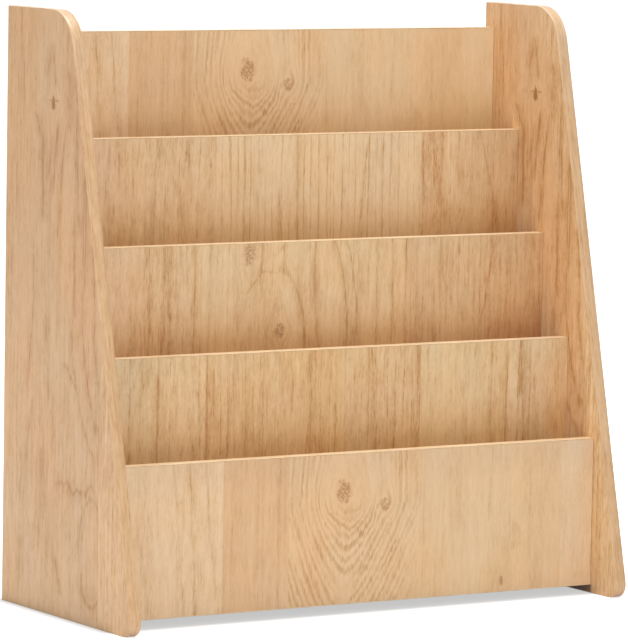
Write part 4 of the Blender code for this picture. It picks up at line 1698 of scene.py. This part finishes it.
# %% Copies at every fitting
QUARTER = math.pi / 2
SIDE_FACE = {"left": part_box("side_left")[1].x, "right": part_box("side_right")[0].x}
TOWARDS_MIDDLE = {"left": (0.0, QUARTER, 0.0), "right": (0.0, -QUARTER, 0.0)}
DRIVE_TO_REAR = {"left": (-QUARTER, math.pi, 0.0), "right": (-QUARTER, 0.0, 0.0)}


def pin_place(node, end):
    """Where a pin's axis meets the side's face."""
    low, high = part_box(node)
    middle = (low + high) / 2
    return (SIDE_FACE[end], middle.y, middle.z)


def drive_place(node, end):
    """Middle of a fitting's drive face, which looks to the rear at both ends."""
    low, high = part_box(node)
    middle = (low + high) / 2
    return (middle.x, high.y, middle.z)


def copy_fittings(name, pattern, tiers, place_of, turns, material):
    """Put a pattern wherever the packed model has that fitting, as one piece."""
    nodes = named([name], tiers)
    ends = [node.rsplit("_", 1)[1] for node in nodes]
    places = [place_of(node, end) for node, end in zip(nodes, ends)]
    angles = [angle for end in ends for angle in turns[end]]
    thing = path_object(f"{name}s", places, [], TURN_ATTRIBUTE, angles, "FLOAT_VECTOR", "vector")
    run_tree(thing, COPIES, {"Pattern": pattern, "Material": material})
    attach(thing, "root")
    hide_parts(*nodes)
    thing.data.calc_loop_triangles()
    print(thing.name, len(nodes), "copies,", len(thing.data.loop_triangles), "triangles")


copy_fittings("cam", cam, BOARD_TIERS, drive_place, DRIVE_TO_REAR, ZINC)
copy_fittings("cam_bolt", bolt, BOARD_TIERS, pin_place, TOWARDS_MIDDLE, STEEL)
copy_fittings("dowel", dowel, BOARD_TIERS, pin_place, TOWARDS_MIDDLE, BEECH)
copy_fittings("floor_dowel", dowel, TIERS, pin_place, TOWARDS_MIDDLE, BEECH)
copy_fittings("floor_screw", screw, TIERS, drive_place, DRIVE_TO_REAR, STEEL)
for pattern in (cam, bolt, dowel, screw):
    bpy.data.objects.remove(pattern)

# %% [markdown]
# ## The stage
#
# A pale floor and soft light from above, from the front and from the left, as in a plain studio. The floor
# must look white, but the shelf must not be over-lit. So a camera ray sees the floor's own light plus a
# diffuse part that shadows can darken, while the rays that light the shelf see a pale floor. Under the shelf
# the floor's own light is dimmer, and behind the front board the floor itself is dark for all rays: a painted
# shadow there, on top of the real one. The world is white for the camera too, and only a soft fill for the
# shelf.

# %% Floor and world
WHITE = (1.0, 1.0, 1.0, 1.0)
FLOOR_RADIUS = 30.0
FLOOR_SEGMENTS = 64
FLOOR_ROUGHNESS = 0.9
FLOOR_COLOUR = (0.80, 0.80, 0.81)
# Painted shadow: the floor is dark behind the front board.
PAINTED_SHADOW_FLOOR_COLOUR = (0.20, 0.20, 0.20)     # behind the front board
HIDDEN_EDGE = 0.02
# The floor's own light is dimmer under the shelf, which paints a shadow there on top of the real one, and
# rises to white beside it and far away.
GLOW_UNDER_SHELF = 0.53
GLOW_BESIDE_SHELF = 0.70
GLOW_FAR_AWAY = 1.0
BESIDE_RANGE = (-0.008, 0.032)               # distances from the shelf over which the glow rises
AWAY_RANGE = (0.05, 0.60)
WORLD_LIGHT = 0.36
FRONT_BOARD_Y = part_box("front_board")[0].y
SHELF_MIDDLE = (cad_box[0] + cad_box[1]) / 2
SHELF_HALF_SIZE = (cad_box[1] - cad_box[0]) / 2


def camera_sees(tree):
    """1 for rays that show the background itself or its mirror image, 0 for rays that light the shelf."""
    rays = add_node(tree, "ShaderNodeLightPath")
    kinds = ("Is Camera Ray", "Is Glossy Ray", "Is Transmission Ray")
    return reduce(Signal.higher, [Signal(rays.outputs[kind]) for kind in kinds])


def floor_material():
    """Pale floor that looks white, keeps shadows, and has a painted shadow under the shelf."""
    material, shader, (x, y, _) = new_material("studio_floor")
    beyond_x = (abs(x) - SHELF_HALF_SIZE.x).higher(0.0)
    beyond_y = (abs(y) - SHELF_HALF_SIZE.y).higher(0.0)
    distance = beyond_x.hypot(beyond_y)
    painted_shadow_mask = fade(y, FRONT_BOARD_Y - HIDDEN_EDGE, FRONT_BOARD_Y) * fade(distance, HIDDEN_EDGE, 0.0)
    beside = fade(distance, *BESIDE_RANGE, GLOW_BESIDE_SHELF - GLOW_UNDER_SHELF)
    away = fade(distance, *AWAY_RANGE, GLOW_FAR_AWAY - GLOW_BESIDE_SHELF)
    inputs = {
        "Base Color": blend_colours(painted_shadow_mask, FLOOR_COLOUR, PAINTED_SHADOW_FLOOR_COLOUR),
        "Roughness": FLOOR_ROUGHNESS,
        "Specular IOR Level": 0.0,
        "Emission Color": WHITE,
        "Emission Strength": camera_sees(material.node_tree) * (beside + away + GLOW_UNDER_SHELF),
    }
    fill(shader, inputs)
    return material


bm = bmesh.new()
bmesh.ops.create_circle(bm, cap_ends=True, segments=FLOOR_SEGMENTS, radius=FLOOR_RADIUS)
studio_floor = put("studio_floor", mesh_of(bm, "studio_floor"))
studio_floor.data.materials.append(floor_material())

world = bpy.data.worlds.new("studio")
world.use_nodes = True
bpy.context.scene.world = world
strength = camera_sees(world.node_tree) * (1.0 - WORLD_LIGHT) + WORLD_LIGHT
fill(world.node_tree.nodes["Background"], {"Color": WHITE, "Strength": strength})
bpy.context.scene.view_settings.view_transform = "Standard"
print("floor of", FLOOR_RADIUS, "m radius, world light", WORLD_LIGHT)

# %% Softboxes
SOFTBOXES = {                    # place, size and watts
    "softbox_above": ((-0.1, 0.15, 2.4), 1.6, 44.0),
    "softbox_front": ((-0.8, -3.2, 1.6), 2.0, 45.5),
    "softbox_left": ((-3.0, -0.8, 0.9), 1.6, 19.4),
}
for name, (place, size, watts) in SOFTBOXES.items():
    lamp = put(name, bpy.data.lights.new(name, "AREA"))
    lamp.data.shape = "SQUARE"
    lamp.data.size = size
    lamp.data.energy = watts
    lamp.location = place
    lamp.rotation_euler = (Vector(place) - SHELF_MIDDLE).to_track_quat("Z", "Y").to_euler()
    print(name, watts, "W, faces the middle of the shelf from", place)

# %% [markdown] The dressed shelf has to stay inside the packed model's box.
